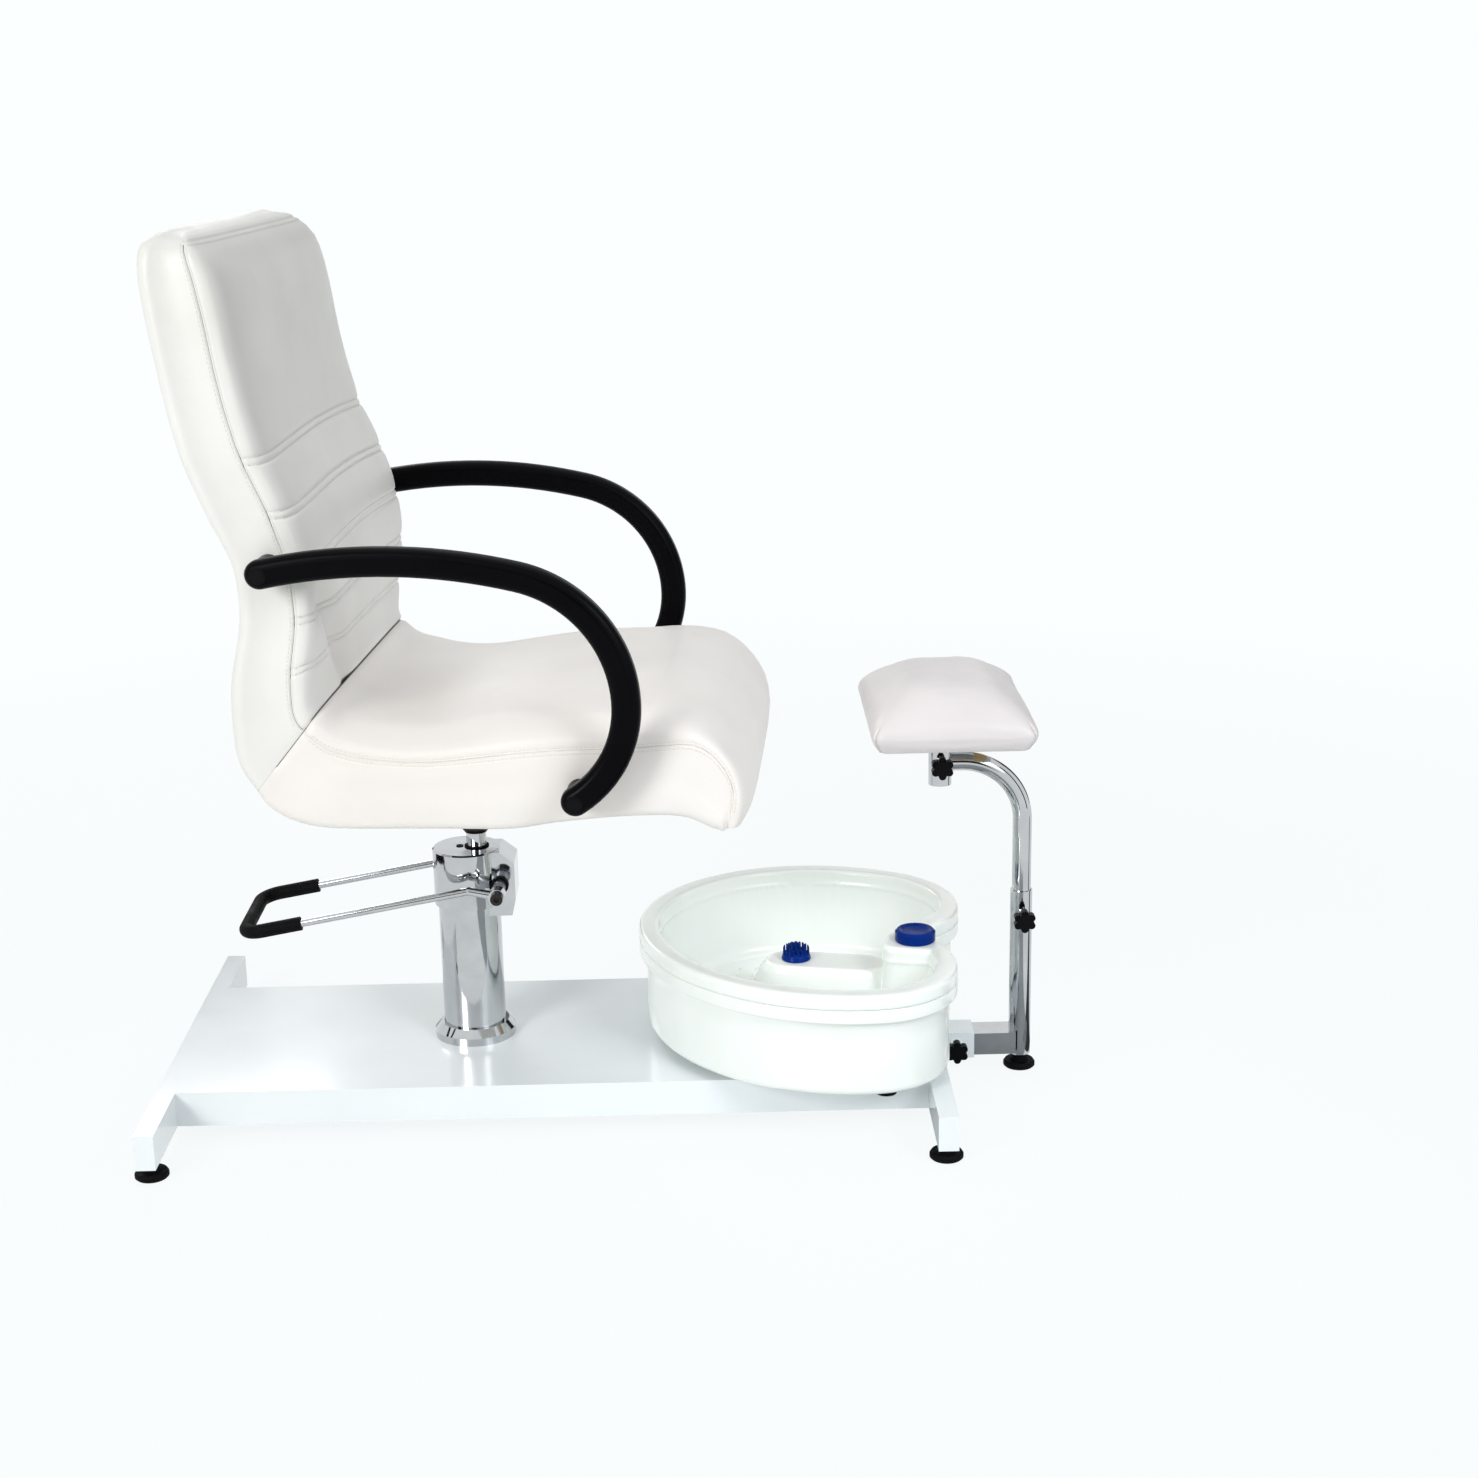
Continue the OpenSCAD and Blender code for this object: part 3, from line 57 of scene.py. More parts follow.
# %% Camera
CAMERA_AT = Vector((0.14528, -2.9589, 1.2869))
YAW, PITCH, ROLL = 0.012616, 0.271553, -0.018990
FOCAL_MM = 58.01


def camera_turn(yaw, pitch, roll):
    """Columns are the camera's right, up and backward directions."""
    ahead = Vector((math.sin(yaw) * math.cos(pitch), math.cos(yaw) * math.cos(pitch), -math.sin(pitch)))
    level = Vector((math.cos(yaw), -math.sin(yaw), 0))
    above = level.cross(ahead)
    right = math.cos(roll) * level + math.sin(roll) * above
    up = -math.sin(roll) * level + math.cos(roll) * above
    return Matrix((right, up, -ahead)).transposed().to_4x4()


camera_data = bpy.data.cameras.new("camera")
camera_data.lens, camera_data.sensor_width, camera_data.clip_end = FOCAL_MM, 36, 60
camera = bpy.data.objects.new("camera", camera_data)
camera.matrix_world = Matrix.Translation(CAMERA_AT) @ camera_turn(YAW, PITCH, ROLL)
bpy.context.collection.objects.link(camera)
bpy.context.scene.camera = camera
print("camera:", FOCAL_MM, "mm lens at", tuple(round(c, 3) for c in CAMERA_AT))

# %% [markdown]
# Materials are node trees. A small function adds one node: names in lower case are the node's
# own options, the others are its sockets, and a value that is itself a socket becomes a link.
# Colours are written as sRGB hex, as on a paint card, and one function turns them to linear.

# %% Node and colour helpers
def add_node(tree, kind, settings):
    """Adds one node to tree. A setting is an option, a constant for a socket, or a socket to read."""
    made = tree.nodes.new("ShaderNode" + kind)
    for key, value in settings.items():
        if isinstance(key, str) and key in made.bl_rna.properties:
            setattr(made, key, value)
        elif isinstance(value, bpy.types.NodeSocket):
            tree.links.new(value, made.inputs[key])
        else:
            made.inputs[key].default_value = value
    return made


def linear(hex_colour):
    """An sRGB hex colour as linear RGBA."""
    parts = [int(hex_colour[i:i + 2], 16) / 255 for i in (1, 3, 5)]
    return tuple(c / 12.92 if c <= 0.04045 else ((c + 0.055) / 1.055) ** 2.4 for c in parts) + (1.0,)


def new_finish(name, **shader):
    """A material with one Principled shader. Underscores in a keyword stand for spaces."""
    material = bpy.data.materials.new(name)
    material.use_nodes = True
    principled = material.node_tree.nodes["Principled BSDF"]
    for key, value in shader.items():
        principled.inputs[key.replace("_", " ").title().replace("Ior", "IOR")].default_value = value
    return material


print("white is", linear("#FFFFFF"))

# %% [markdown]
# Nothing real is one flat colour. All but the thread and the grey cord of painted seam shade are written the
# same way: two colours that a texture blends, mostly a roughness that drifts, and a relief of at most a
# quarter of a millimetre. The texture's size is the real feature's, in millimetres.

# %% Finishes that drift
def cloud(size_mm, detail=2.0, rough=0.5):
    """A noise whose clouds are about size_mm wide."""
    return "Noise", size_mm, {"Detail": detail, "Roughness": rough}


def texture(tree, look):
    """The factor of a texture given as (kind, size in mm, settings)."""
    kind, size_mm, settings = look
    place = add_node(tree, "TexCoord", {}).outputs["Object"]
    made = add_node(tree, "Tex" + kind, {"Vector": place, "Scale": 1000 / size_mm} | settings)
    return made.outputs["Distance" if kind == "Voronoi" else "Fac"]


def spread(tree, fac, low, high, start=0.3, stop=0.7):
    """Spreads fac from start..stop to low..high."""
    return add_node(tree, "MapRange", {"Value": fac, "From Min": start, "From Max": stop, "To Min": low,
                                       "To Max": high}).outputs["Result"]


def surfaced(name, colours, tone, polish=None, relief=(), **shader):
    """A finish. Tone blends two hex colours and polish sets the roughness: each is a texture, and the
    span that it is spread to. Relief lists textures with a depth in mm and a strength."""
    material = new_finish(name, **shader)
    tree = material.node_tree
    inputs = tree.nodes["Principled BSDF"].inputs

    def read(look, *span):
        fac = texture(tree, look)
        return spread(tree, fac, *span) if span else fac

    blend = {"data_type": "RGBA", 0: read(*tone), 6: linear(colours[0]), 7: linear(colours[1])}
    tree.links.new(add_node(tree, "Mix", blend).outputs[2], inputs["Base Color"])
    if polish:
        tree.links.new(read(*polish), inputs["Roughness"])
    below = {}
    for look, depth_mm, strength in relief:
        bump = {"Height": texture(tree, look), "Distance": depth_mm / 1000, "Strength": strength} | below
        below = {"Normal": add_node(tree, "Bump", bump).outputs["Normal"]}
        tree.links.new(below["Normal"], inputs["Normal"])
    print("finish:", name)
    return material


# %% [markdown]
# The base is welded steel sheet and tube with a powder coat: polyester powder baked to a
# smooth, slightly bluish white gloss. Powder never flows out quite flat, which gives a fine
# orange peel. The real peel is 2 to 4 mm wide, so it just shows.

# %% White powder coat
POWDER = surfaced("powder_coat_white", ("#F3F8FA", "#EDF3F6"), (cloud(160, 3), 0, 1), (cloud(60), 0.2, 0.26),
                  [(cloud(3, 1), 0.03, 1)], roughness=0.22, ior=1.5, coat_weight=0.3, coat_roughness=0.08)

# %% [markdown]
# The pump, post and tubes are steel, polished and plated with bright decorative chromium. It has
# no colour of its own worth noticing: it shows the room, slightly blue and darker, for it reflects
# only 55 to 60 % of the light, well below silver. Very faint polishing waves and wiped
# fingermarks stop it from looking like a perfect mirror.

# %% Chrome plate
WIPED = cloud(35, 5, 0.6)
CHROME = surfaced("chrome_plate_polished", ("#C8CACC", "#BCBEC1"), (WIPED, 0, 1),
                  (WIPED, 0.03, 0.1, 0.35, 0.75), [(cloud(28, 1), 0.05, 1)], metallic=1.0, roughness=0.05)

# %% [markdown]
# Nuts, bolts, the flange and other hidden steel are zinc plated. Electroplated zinc is a soft
# grey metal whose crystals, the spangle, are far finer than on dipped steel, so it looks satin with
# faint clouds. The hub under the seat and the pedal's bolts have black oxide under oil, a thin,
# dark, slightly brown film through which the metal's gloss still shows.

# %% Zinc plate and black oxide
SPANGLE = ("Voronoi", 2.5, {})
ZINC = surfaced("zinc_plate_bright", ("#B9BCC0", "#9EA3A9"), (SPANGLE,), (SPANGLE, 0.28, 0.45, 0, 1),
                metallic=1.0, roughness=0.35)
OIL = cloud(12, 3)
OXIDE = surfaced("black_oxide_steel", ("#1C1B1B", "#302D2B"), (OIL,), (OIL, 0.24, 0.4),
                 metallic=0.6, roughness=0.3)

# %% [markdown]
# The pedal's grip and the feet are carbon-black filled rubber, moulded in a blasted mould. It is
# never quite black, its gloss is low, and it picks up pale dust in a cloudy pattern. The blasted
# texture is about half a millimetre, drawn here at 1.2 mm so that it shows.
# Star knobs and plugs are glass-filled nylon. The fibres leave a faint dry grain, and the
# polymer itself keeps a sheen on edges, so it sits between the rubber and the armrests in gloss.

# %% Black rubber and nylon
DUST, FIBRES = cloud(18, 4, 0.6), cloud(2, 3)
RUBBER = surfaced("rubber_black_moulded", ("#09090B", "#161618"), (DUST, 0, 1, 0.45, 0.8), (DUST, 0.5, 0.75),
                  [(cloud(1.2, 1), 0.08, 1)], roughness=0.6, ior=1.52, specular_ior_level=0.06)
NYLON = surfaced("nylon_black_moulded", ("#060608", "#0E0E11"), (FIBRES,), (FIBRES, 0.3, 0.48),
                 [(FIBRES, 0.03, 1)], roughness=0.38, ior=1.53, specular_ior_level=0.08)

# %% [markdown]
# The armrests are integral-skin polyurethane foam, cast in an aluminium mould. The skin is satin
# black with broad soft highlights, and shows a fine mould grain and a few rubbed, glossier
# places on top where arms rest.

# %% Satin polyurethane skin
RUBBED = cloud(70, 3)
ARM_SKIN = surfaced("polyurethane_skin_black", ("#040406", "#0A0A0D"), (RUBBED,), (RUBBED, 0.24, 0.4),
                    [(cloud(1.8, 2), 0.05, 1)], roughness=0.34, ior=1.4, specular_ior_level=0.06)

# %% [markdown]
# The foot bath is ABS, injection-moulded in a polished mould, white with a hint of green. ABS lets
# a little light in before it scatters back, so shadows inside the bowl turn soft and minty. Moulded
# gloss is even, with only long flow waves. The dial and the massage head are the same plastic in blue.

# %% Glossy ABS
def glossy_abs(name, colours, roughness, scatter, gloss):
    return surfaced(name, colours, (cloud(90), 0, 1), (cloud(30, 3), roughness - 0.05, roughness + 0.07),
                    [(cloud(40, 1), 0.06, 1)], roughness=roughness, ior=1.54, coat_weight=gloss / 2,
                    coat_roughness=0.06, subsurface_weight=scatter, subsurface_scale=0.004,
                    specular_ior_level=gloss)


BASIN = glossy_abs("abs_gloss_white", ("#FAFEFB", "#F6FCF8"), 0.18, 0.05, 0.5)
BLUE_ABS = glossy_abs("abs_gloss_blue", ("#042C80", "#04246E"), 0.2, 0.0, 0.05)

# %% [markdown]
# The bent shell and the pad's board are birch plywood. Rotary-cut birch has pale, wavy grain
# some 3 mm wide. It only shows if the covers come off, but every part has its own finish.

# %% Birch plywood
GRAIN = ("Wave", 25, {"Distortion": 6.0, "Detail": 3.0, "bands_direction": "Y"})
PLYWOOD = surfaced("birch_plywood", ("#D9BC8C", "#C09A66"), (GRAIN,), None, [(GRAIN, 0.1, 1)], roughness=0.55)

# %% [markdown]
# The cover is leatherette: a knitted backing with a foamed vinyl skin, embossed with a calf
# grain. Two things make it look real: the pebbled grain that breaks up highlights, and slow
# changes of tone where the skin is stretched or relaxed. The embossed pebbles are about
# 0.9 mm, drawn here at 2.2 mm so that they show at this distance.

# %% White leatherette
PEBBLES = ("Voronoi", 2.2, {"feature": "SMOOTH_F1", "Smoothness": 0.6})


def leatherette(name, *colours):
    return surfaced(name, colours, (cloud(140, 3), 0, 1), (cloud(25, 4), 0.36, 0.5),
                    [(PEBBLES, 0.12, 0.7), (cloud(14, 3), 0.25, 0.5)], roughness=0.42, ior=1.5,
                    sheen_weight=0.08, sheen_roughness=0.4)


LEATHERETTE = leatherette("leatherette_white", "#F0EFEC", "#EAE9E4")
SEAT_LEATHERETTE = leatherette("leatherette_warm_white", "#F3EFEB", "#EFEAE5")
PAD_LEATHERETTE = leatherette("leatherette_rose_white", "#E0DBDB", "#DAD5D5")
THREAD = new_finish("polyester_thread_white", roughness=0.6, base_color=linear("#E2DED7"))
# The seam cord's grey is painted shade: it stands for the shadow in the gap between two panels, not for a
# darker thread.
SEAM_GAP_SHADE = new_finish("painted_seam_gap_shade", roughness=0.8, base_color=linear("#77756F"))

# %% [markdown]
# Each carried-over solid now gets its finish by the record's material slot, so a solid that
# is added later is dressed as well.

# %% Dress the solids
FINISH_OF_SLOT = {
    "white_powder_coat": POWDER, "white_plastic": POWDER, "zinc_steel": ZINC, "chrome_plate": CHROME,
    "black_rubber": RUBBER, "black_plastic": NYLON, "black_bolts": OXIDE, "white_leatherette": LEATHERETTE,
    "plywood": PLYWOOD, "black_polyurethane": ARM_SKIN, "basin_plastic": BASIN, "blue_plastic": BLUE_ABS,
}
for subpart in frame["record"]["subparts"]:
    solid = frame["nodes"][subpart["node"]]
    solid.data.materials.clear()
    solid.data.materials.append(FINISH_OF_SLOT[subpart["material_slot"]])

# %% [markdown]
# Every piece that is modelled here starts as a list of points and faces. Most are grids: rings of
# points that close on themselves, stacked along a line and shut with a fan of faces at both ends.

# %% Mesh helpers
def mesh_object(name, vertices, faces):
    mesh = bpy.data.meshes.new(name)
    mesh.from_pydata([tuple(v) for v in vertices], [], faces)
    made = bpy.data.objects.new(name, mesh)
    bpy.context.collection.objects.link(made)
    return made


def finished(made, finish):
    """Outward normals, smooth shading and a finish."""
    work = bmesh.new()
    work.from_mesh(made.data)
    bmesh.ops.recalc_face_normals(work, faces=work.faces)
    work.to_mesh(made.data)
    work.free()
    made.data.shade_smooth()
    made.data.materials.append(finish)
    return made


def grid_faces(rows, columns, start=0):
    return [(start + i * columns + j, start + i * columns + (j + 1) % columns,
             start + (i + 1) * columns + (j + 1) % columns, start + (i + 1) * columns + j)
            for i in range(rows - 1) for j in range(columns)]


def capped_mesh(name, points, finish, top_rise=0.0):
    """A closed mesh from rings of points in mm. The last end may rise a little in its middle."""
    rows, columns = points.shape[:2]
    vertices, faces = list(points.reshape(-1, 3)), grid_faces(rows, columns)
    for ring, flip, rise in ((0, True, 0.0), (rows - 1, False, top_rise)):
        middle = len(vertices)
        vertices.append(points[ring].mean(axis=0) + (0, 0, rise))
        for j in range(columns):
            pair = (ring * columns + j, ring * columns + (j + 1) % columns)
            faces.append((middle,) + (pair[::-1] if flip else pair))
    return finished(mesh_object(name, np.array(vertices) / 1000, faces), finish)


def fitted(made, body, replaced=None):
    """Rides on a body and, where it stands for a solid, replaces it."""
    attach(made, body)
    if replaced:
        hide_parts(replaced)
    print(made.name, "has", len(made.data.polygons), "faces")
    return made


def unit(vectors):
    return vectors / np.maximum(np.linalg.norm(vectors, axis=-1, keepdims=True), 1e-9)


def circle(steps):
    """The unit circle as points (cos, sin)."""
    turn = np.linspace(0, 2 * math.pi, steps + 1)[:-1]
    return np.stack([np.cos(turn), np.sin(turn)], -1)


def polar(radius, degrees):
    return radius * np.array([math.cos(math.radians(degrees)), math.sin(math.radians(degrees))])


print("a grid of 3 rings of 4 points has", len(grid_faces(3, 4)), "faces")

# %% [markdown]
# The chair has its own measure: forward and across from the ram's axis, and up from the seat's
# underside, all in millimetres. The whole seat is swivelled a few degrees towards the near
# side, so one function turns its points into the frame's millimetres.

# %% Chair coordinates
ORIGIN_X = 174.75
RAM_X, CHAIR_TURN, SEAT_Z = 13.0, math.radians(4.5), 432.0


def from_chair(points):
    """Chair millimetres (forward, across, up from the floor) to the frame's millimetres."""
    p = np.asarray(points, float)
    turn_cos, turn_sin = math.cos(CHAIR_TURN), math.sin(CHAIR_TURN)
    x = RAM_X + p[..., 0] * turn_cos + p[..., 1] * turn_sin - ORIGIN_X
    y = -p[..., 0] * turn_sin + p[..., 1] * turn_cos
    return np.stack([x, y, p[..., 2]], -1)


print("seat underside at", SEAT_Z, "mm; the chair is turned", round(math.degrees(CHAIR_TURN), 1), "degrees")

# %% [markdown]
# Seat and back are one L of foam over bent plywood, covered in four panels each: a front or top
# panel, two boxing strips and a rear or bottom panel. The shape could be sculpted, but rows of
# measured sections keep every seam where it belongs. A row holds the rear face's X and Z, the
# seam's X and Z, the crown of the panel over the seam, and how much the row is narrower than the
# rest on each side. The crown goes straight on from the rear face through the seam. Around the
# seat's front it bows forward instead, so those rows name its direction in degrees.

# %% Upholstery rows
HALF_W = 268.0
MITRE = (-212, 46, -150, 122, 38)


def full_row(rear_x, rear_z, seam_x, seam_z, crown, narrower=0, lean=None):
    """Seven numbers: the first five, the half width and the crown's direction."""
    straight = math.degrees(math.atan2(seam_z - rear_z, seam_x - rear_x))
    return rear_x, rear_z, seam_x, seam_z, crown, HALF_W - narrower, straight if lean is None else lean


BACK_ROWS = np.array([full_row(*row) for row in (
    MITRE, (-230, 76, -158, 134, 38), (-236, 113, -162, 152, 38), (-234, 178, -161, 193, 38),
    (-219, 253, -152, 255, 35), (-222, 317, -155, 317, 35), (-247, 376, -174, 379, 38),
    (-271, 438, -200, 441, 38), (-284, 493, -215, 495, 39), (-293, 548, -225, 548, 39),
    (-301, 603, -233, 603, 39), (-306, 648, -242, 648, 38, 2), (-305, 672, -248, 671, 32, 4),
    (-301, 685, -250, 682, 18, 10), (-291, 694, -254, 691, 8, 26), (-281, 699, -261, 695, 3, 56))])
SEAT_ROWS = np.array([full_row(*row) for row in (
    MITRE, (-200, 28, -138, 111, 37), (-178, 13, -120, 99, 36), (-145, 3, -88, 90, 34),
    (-105, 0, -45, 85, 34), (-40, 0, 0, 84, 34), (20, 0, 45, 88, 34), (90, 0, 100, 94, 34),
    (145, 8, 155, 98, 34), (215, 15, 220, 100, 34), (275, 17, 275, 104, 34),
    (300, 14, 306, 105, 27, 0, 74), (314, 8, 326, 96, 21, 1, 54), (324, 3, 342, 79, 19, 1, 34),
    (330, 0, 352, 58, 21, 2, 16), (334, -1, 354, 37, 23, 3, 3), (338, -2, 351, 19, 24, 5, -5),
    (341, -2, 348.5, 1, 19, 9, 6))])


def row_at(rows, t):
    """A smooth curve through the rows, for one t or an array of them."""
    t = np.clip(np.asarray(t, float), 0, len(rows) - 1)
    i = np.minimum(np.floor(t).astype(int), len(rows) - 2)
    f = (t - i)[..., None]
    a, b, c, d = (rows[np.clip(i + k, 0, len(rows) - 1)] for k in (-1, 0, 1, 2))
    return 0.5 * (2 * b + (c - a) * f + (2 * a - 5 * b + 4 * c - d) * f ** 2
                  + (3 * b - a - 3 * c + d) * f ** 3)


def depth_of(row):
    return np.hypot(row[..., 2] - row[..., 0], row[..., 3] - row[..., 1])


def row_point(row, across, inward):
    """A point of a row; inward runs from the rear face to the seam, and on along the crown's direction."""
    depth, lean = depth_of(row), np.radians(row[..., 6])
    share, over = np.minimum(inward / depth, 1), np.maximum(inward - depth, 0)
    x = row[..., 0] + (row[..., 2] - row[..., 0]) * share + over * np.cos(lean)
    z = SEAT_Z + row[..., 1] + (row[..., 3] - row[..., 1]) * share + over * np.sin(lean)
    return np.stack([x, across + 0 * x, z], -1)


def seam_length(rows):
    """Arc length in mm along the side seam, as (t values, lengths)."""
    t = np.linspace(0, len(rows) - 1, 60 * len(rows))
    seam = row_at(rows, t)[:, 2:4]
    steps = np.hypot(*np.diff(seam, axis=0).T)
    return t, np.concatenate([[0], np.cumsum(steps)])


def mm_at(rows, t):
    """Where row t lies along the side seam, in mm."""
    return float(np.interp(t, *seam_length(rows)))


for title, rows in (("back", BACK_ROWS), ("seat", SEAT_ROWS)):
    print(title, "seam length", round(seam_length(rows)[1][-1]), "mm")

# %% [markdown]
# A cover is a grid. Along one way run the rows, close together at channels and seams and wide
# apart elsewhere, so that a 1 mm stitch groove has vertices while the whole stays light. Around
# each row the grid starts in the middle of the rear face, goes round a tight corner, along the
# boxing strip, over the seam, and across the crowned panel as a superellipse.

# %% Cover grid
EDGE_R, SIDE_DRAW, REAR_CROWN = 14.0, 4.0, 2.5
CROWN_POWER = 4.2
NEAR_SEAM = np.array([0, 0.8, 1.6, 2.4, 3.2, 4.0, 4.8, 6.0, 8.0, 11.0, 15.0, 20.0])
ON_REAR = -999.0


def crown_curve(h, crown):
    """The crowned panel's section as (length from the seam, across, rise)."""
    turn = np.radians(np.concatenate([[0], np.geomspace(0.002, 90, 500)]))
    across = (h - 1) * np.abs(np.cos(turn)) ** (2 / CROWN_POWER)
    rise = crown * np.sin(turn) ** (2 / CROWN_POWER)
    across[-1] = 0
    steps = np.hypot(np.diff(across), np.diff(rise))
    return np.concatenate([[0], np.cumsum(steps)]), across, rise


def half_ring(row):
    """Half a section as (across, inward, distance past the seam), from the rear's middle to the crown's."""
    h, d, crown = row[5], float(depth_of(row)), max(row[4], 0.5)
    r = min(EDGE_R, d / 3)
    points = [((h - r) * s, -REAR_CROWN * (1 - s * s), ON_REAR) for s in np.linspace(0, 1, 13)]
    points += [(h - r + r * math.sin(a), r - r * math.cos(a), ON_REAR)
               for a in np.linspace(0, math.pi / 2, 6)[1:]]
    near = NEAR_SEAM * min(1, (d - r) / 40)
    side = np.concatenate([near, np.linspace(near[-1], d - r, 8)[1:-1]])
    for off in side[::-1]:
        share = (d - off - r) / (d - r)
        points.append((h - SIDE_DRAW * math.sin(math.pi * share) - share, d - off, -off))
    length, across, rise = crown_curve(h, crown)
    for off in np.concatenate([NEAR_SEAM, np.linspace(NEAR_SEAM[-1], length[-1], 20)[1:]])[1:]:
        points.append((np.interp(off, length, across), d + np.interp(off, length, rise), off))
    return np.array(points)


print("half a section of the back has", len(half_ring(BACK_ROWS[8])), "points")

# %% [markdown]
# Where the rows stand matters as much as how a section is drawn. They sit 0.7 to 2 mm apart over
# the two stitch lines of a channel, and fan out in between. The stitches use the same stations.

# %% Stations along the seam
LINE_GAP = 4.5
CHANNEL_OFFSETS = np.array([0.0, 1.6, 3.0, 3.8, 4.5, 5.2, 6.2, 8.0, 11.0, 15.0])
ROW_PITCH = 13


def stations(rows, lines=(), single=()):
    """Rows as (mm along the seam, t): evenly spaced, dense at both ends, at channels and single seams."""
    t_of, length = seam_length(rows)
    marks = [np.arange(0, length[-1], ROW_PITCH), [length[-1]], NEAR_SEAM, length[-1] - NEAR_SEAM]
    kept = np.unique(np.concatenate(marks))
    for centre, offsets in ([(mm_at(rows, t), CHANNEL_OFFSETS) for t in lines]
                            + [(mm_at(rows, t), NEAR_SEAM[:9]) for t in single]):
        kept = kept[np.abs(kept - centre) > offsets[-1] + 2]
        kept = np.concatenate([kept, centre + offsets, centre - offsets])
    kept = np.unique(np.round(np.clip(kept, 0, length[-1]), 3))
    return kept, np.interp(kept, length, t_of)


CHANNELS = (3, 4, 5, 6, 7)
TOP_SEAM = 13.6
back_mm, back_t = stations(BACK_ROWS, CHANNELS, (TOP_SEAM,))
seat_mm, seat_t = stations(SEAT_ROWS)
print("rows in the back:", len(back_t), " rows in the seat:", len(seat_t))

# %% [markdown]
# Sewing leaves marks that sell the material. A seam pulls its edge in by 3 mm, a stitch line dents
# the foam half a millimetre, small puckers fan out from the thread, and each panel swells
# between its seams. All of it is one displacement along the surface's own outward direction.
# The swelling comes from a cloth simulation further down, the rest from these formulas.

# %% Seams, channels and puckers
def smooth_step(x, start, stop):
    x = np.clip((x - start) / (stop - start), 0, 1)
    return x * x * (3 - 2 * x)


def bell(x, width):
    return np.exp(-(x / width) ** 2)


def seam_dent(e):
    """Depth in mm at distance e from a seam with a stitch line 4 mm away on both sides."""
    return -3.0 * bell(e, 1.2) - 0.55 * bell(np.abs(e) - 4.0, 1.0) + 0.35 * bell(np.abs(e) - 2.0, 0.9)


def channel_dent(x):
    """A sewn channel: two stitch lines 9 mm apart in a shallow trough."""
    return -2.3 * bell(np.abs(x) - LINE_GAP, 1.7) - 2.2 * bell(x, 13.0)


def pucker(along, e, reach, seed):
    """Short folds across a seam, of uneven length and spacing."""
    wave = (np.sin(along / 3.1 + 2.2 * np.sin(along / 17.0 + seed) + seed)
            + 0.6 * np.sin(along / 5.3 + 2 * seed))
    return 0.28 * wave * np.exp(-np.abs(e) / reach)


print("seam dent at 0, 2, 4 mm:", [round(float(seam_dent(e)), 2) for e in (0, 2, 4)])

# %% [markdown]
# The armrests press on the covers through round spacers, so the boxing strips stay out at full width
# there. The bolts' places follow from the armrest's three tangent arcs.

# %% Armrest bolts
ARM_TOP_R, ARM_SHOULDER_R, ARM_FRONT_R = 683.0, 156.0, 133.0
ARM_REAR = np.array([-176.0, 752.0])
arm_c1 = ARM_REAR - polar(ARM_TOP_R, 90 + 11.5)
arm_c2 = arm_c1 + polar(ARM_TOP_R - ARM_SHOULDER_R, 90 - 13.3)
arm_c3 = arm_c2 + np.array([ARM_SHOULDER_R - ARM_FRONT_R, 0])
ARM_FRONT = arm_c3 + polar(ARM_FRONT_R, -58)
print("armrest bolts at", ARM_REAR, "and", ARM_FRONT.round(1), "mm")

# %% [markdown]
# The grid of a cover comes out as two arrays: its points, and their distances from the seam, which
# also say which panel each column belongs to. The front's rows rise towards the middle, which
# gives the channels their arch.

# %% Build a cover's grid
CHANNEL_ARCH = 0.2


def arch_at(rows, t):
    return CHANNEL_ARCH * max(0, min(1, t / 3)) * max(0, min(1, (12 - t) / 4)) if rows is BACK_ROWS else 0.0


def cover_grid(rows, t_values):
    """Points (rows, columns, 3) in chair millimetres, with past-the-seam distances of the same shape."""
    points, past = [], []
    for t in t_values:
        row = row_at(rows, t)
        half = half_ring(row)
        across, inward, beyond = half.T
        rise = (beyond > 0) * arch_at(rows, t) * (1 - (across / row[5]) ** 2)
        moved = row_at(rows, t + rise)
        flat = row_point(moved, across, inward + depth_of(moved) - depth_of(row))
        on_side = (beyond <= 0) & (beyond > ON_REAR)
        for bolt in (ARM_REAR, ARM_FRONT):
            off = np.hypot(flat[:, 0] - bolt[0], flat[:, 2] - bolt[1])
            flat[:, 1] += on_side * (HALF_W - flat[:, 1]) * np.clip(1.6 * bell(off, 42), 0, 1)
        points.append(np.concatenate([flat, flat[-2:0:-1] * (1, -1, 1)]))
        past.append(np.concatenate([beyond, beyond[-2:0:-1]]))
    return np.array(points), np.array(past)


def grid_normals(points):
    """Outward unit normals of a grid whose columns close on themselves."""
    around = np.roll(points, -1, 1) - np.roll(points, 1, 1)
    normal = unit(np.cross(np.gradient(points, axis=0), around))
    middle = points.mean(axis=1, keepdims=True)
    return normal * np.sign((normal * (points - middle)).sum(-1).mean())


back_grid, back_past = cover_grid(BACK_ROWS, back_t)
seat_grid, seat_past = cover_grid(SEAT_ROWS, seat_t)
print("back grid", back_grid.shape, " seat grid", seat_grid.shape)

# %% [markdown]
# Real covers swell because foam pushes against leather held by its seams. Blender's cloth does
# the same with air pressure: seams, channel lines and the stapled rear are pinned, and 20 frames of
# pressure push the rest out. The simulation runs on a coarse copy of the grid, and only its
# outward movement, capped, is carried over to the fine one.

# %% Cloth swelling
SIM_FRAMES = 20
SIM_PITCH = 11.0
STIFFNESS = {"tension_stiffness": 15, "compression_stiffness": 15, "shear_stiffness": 8,
             "bending_stiffness": 1.5, "quality": 6}


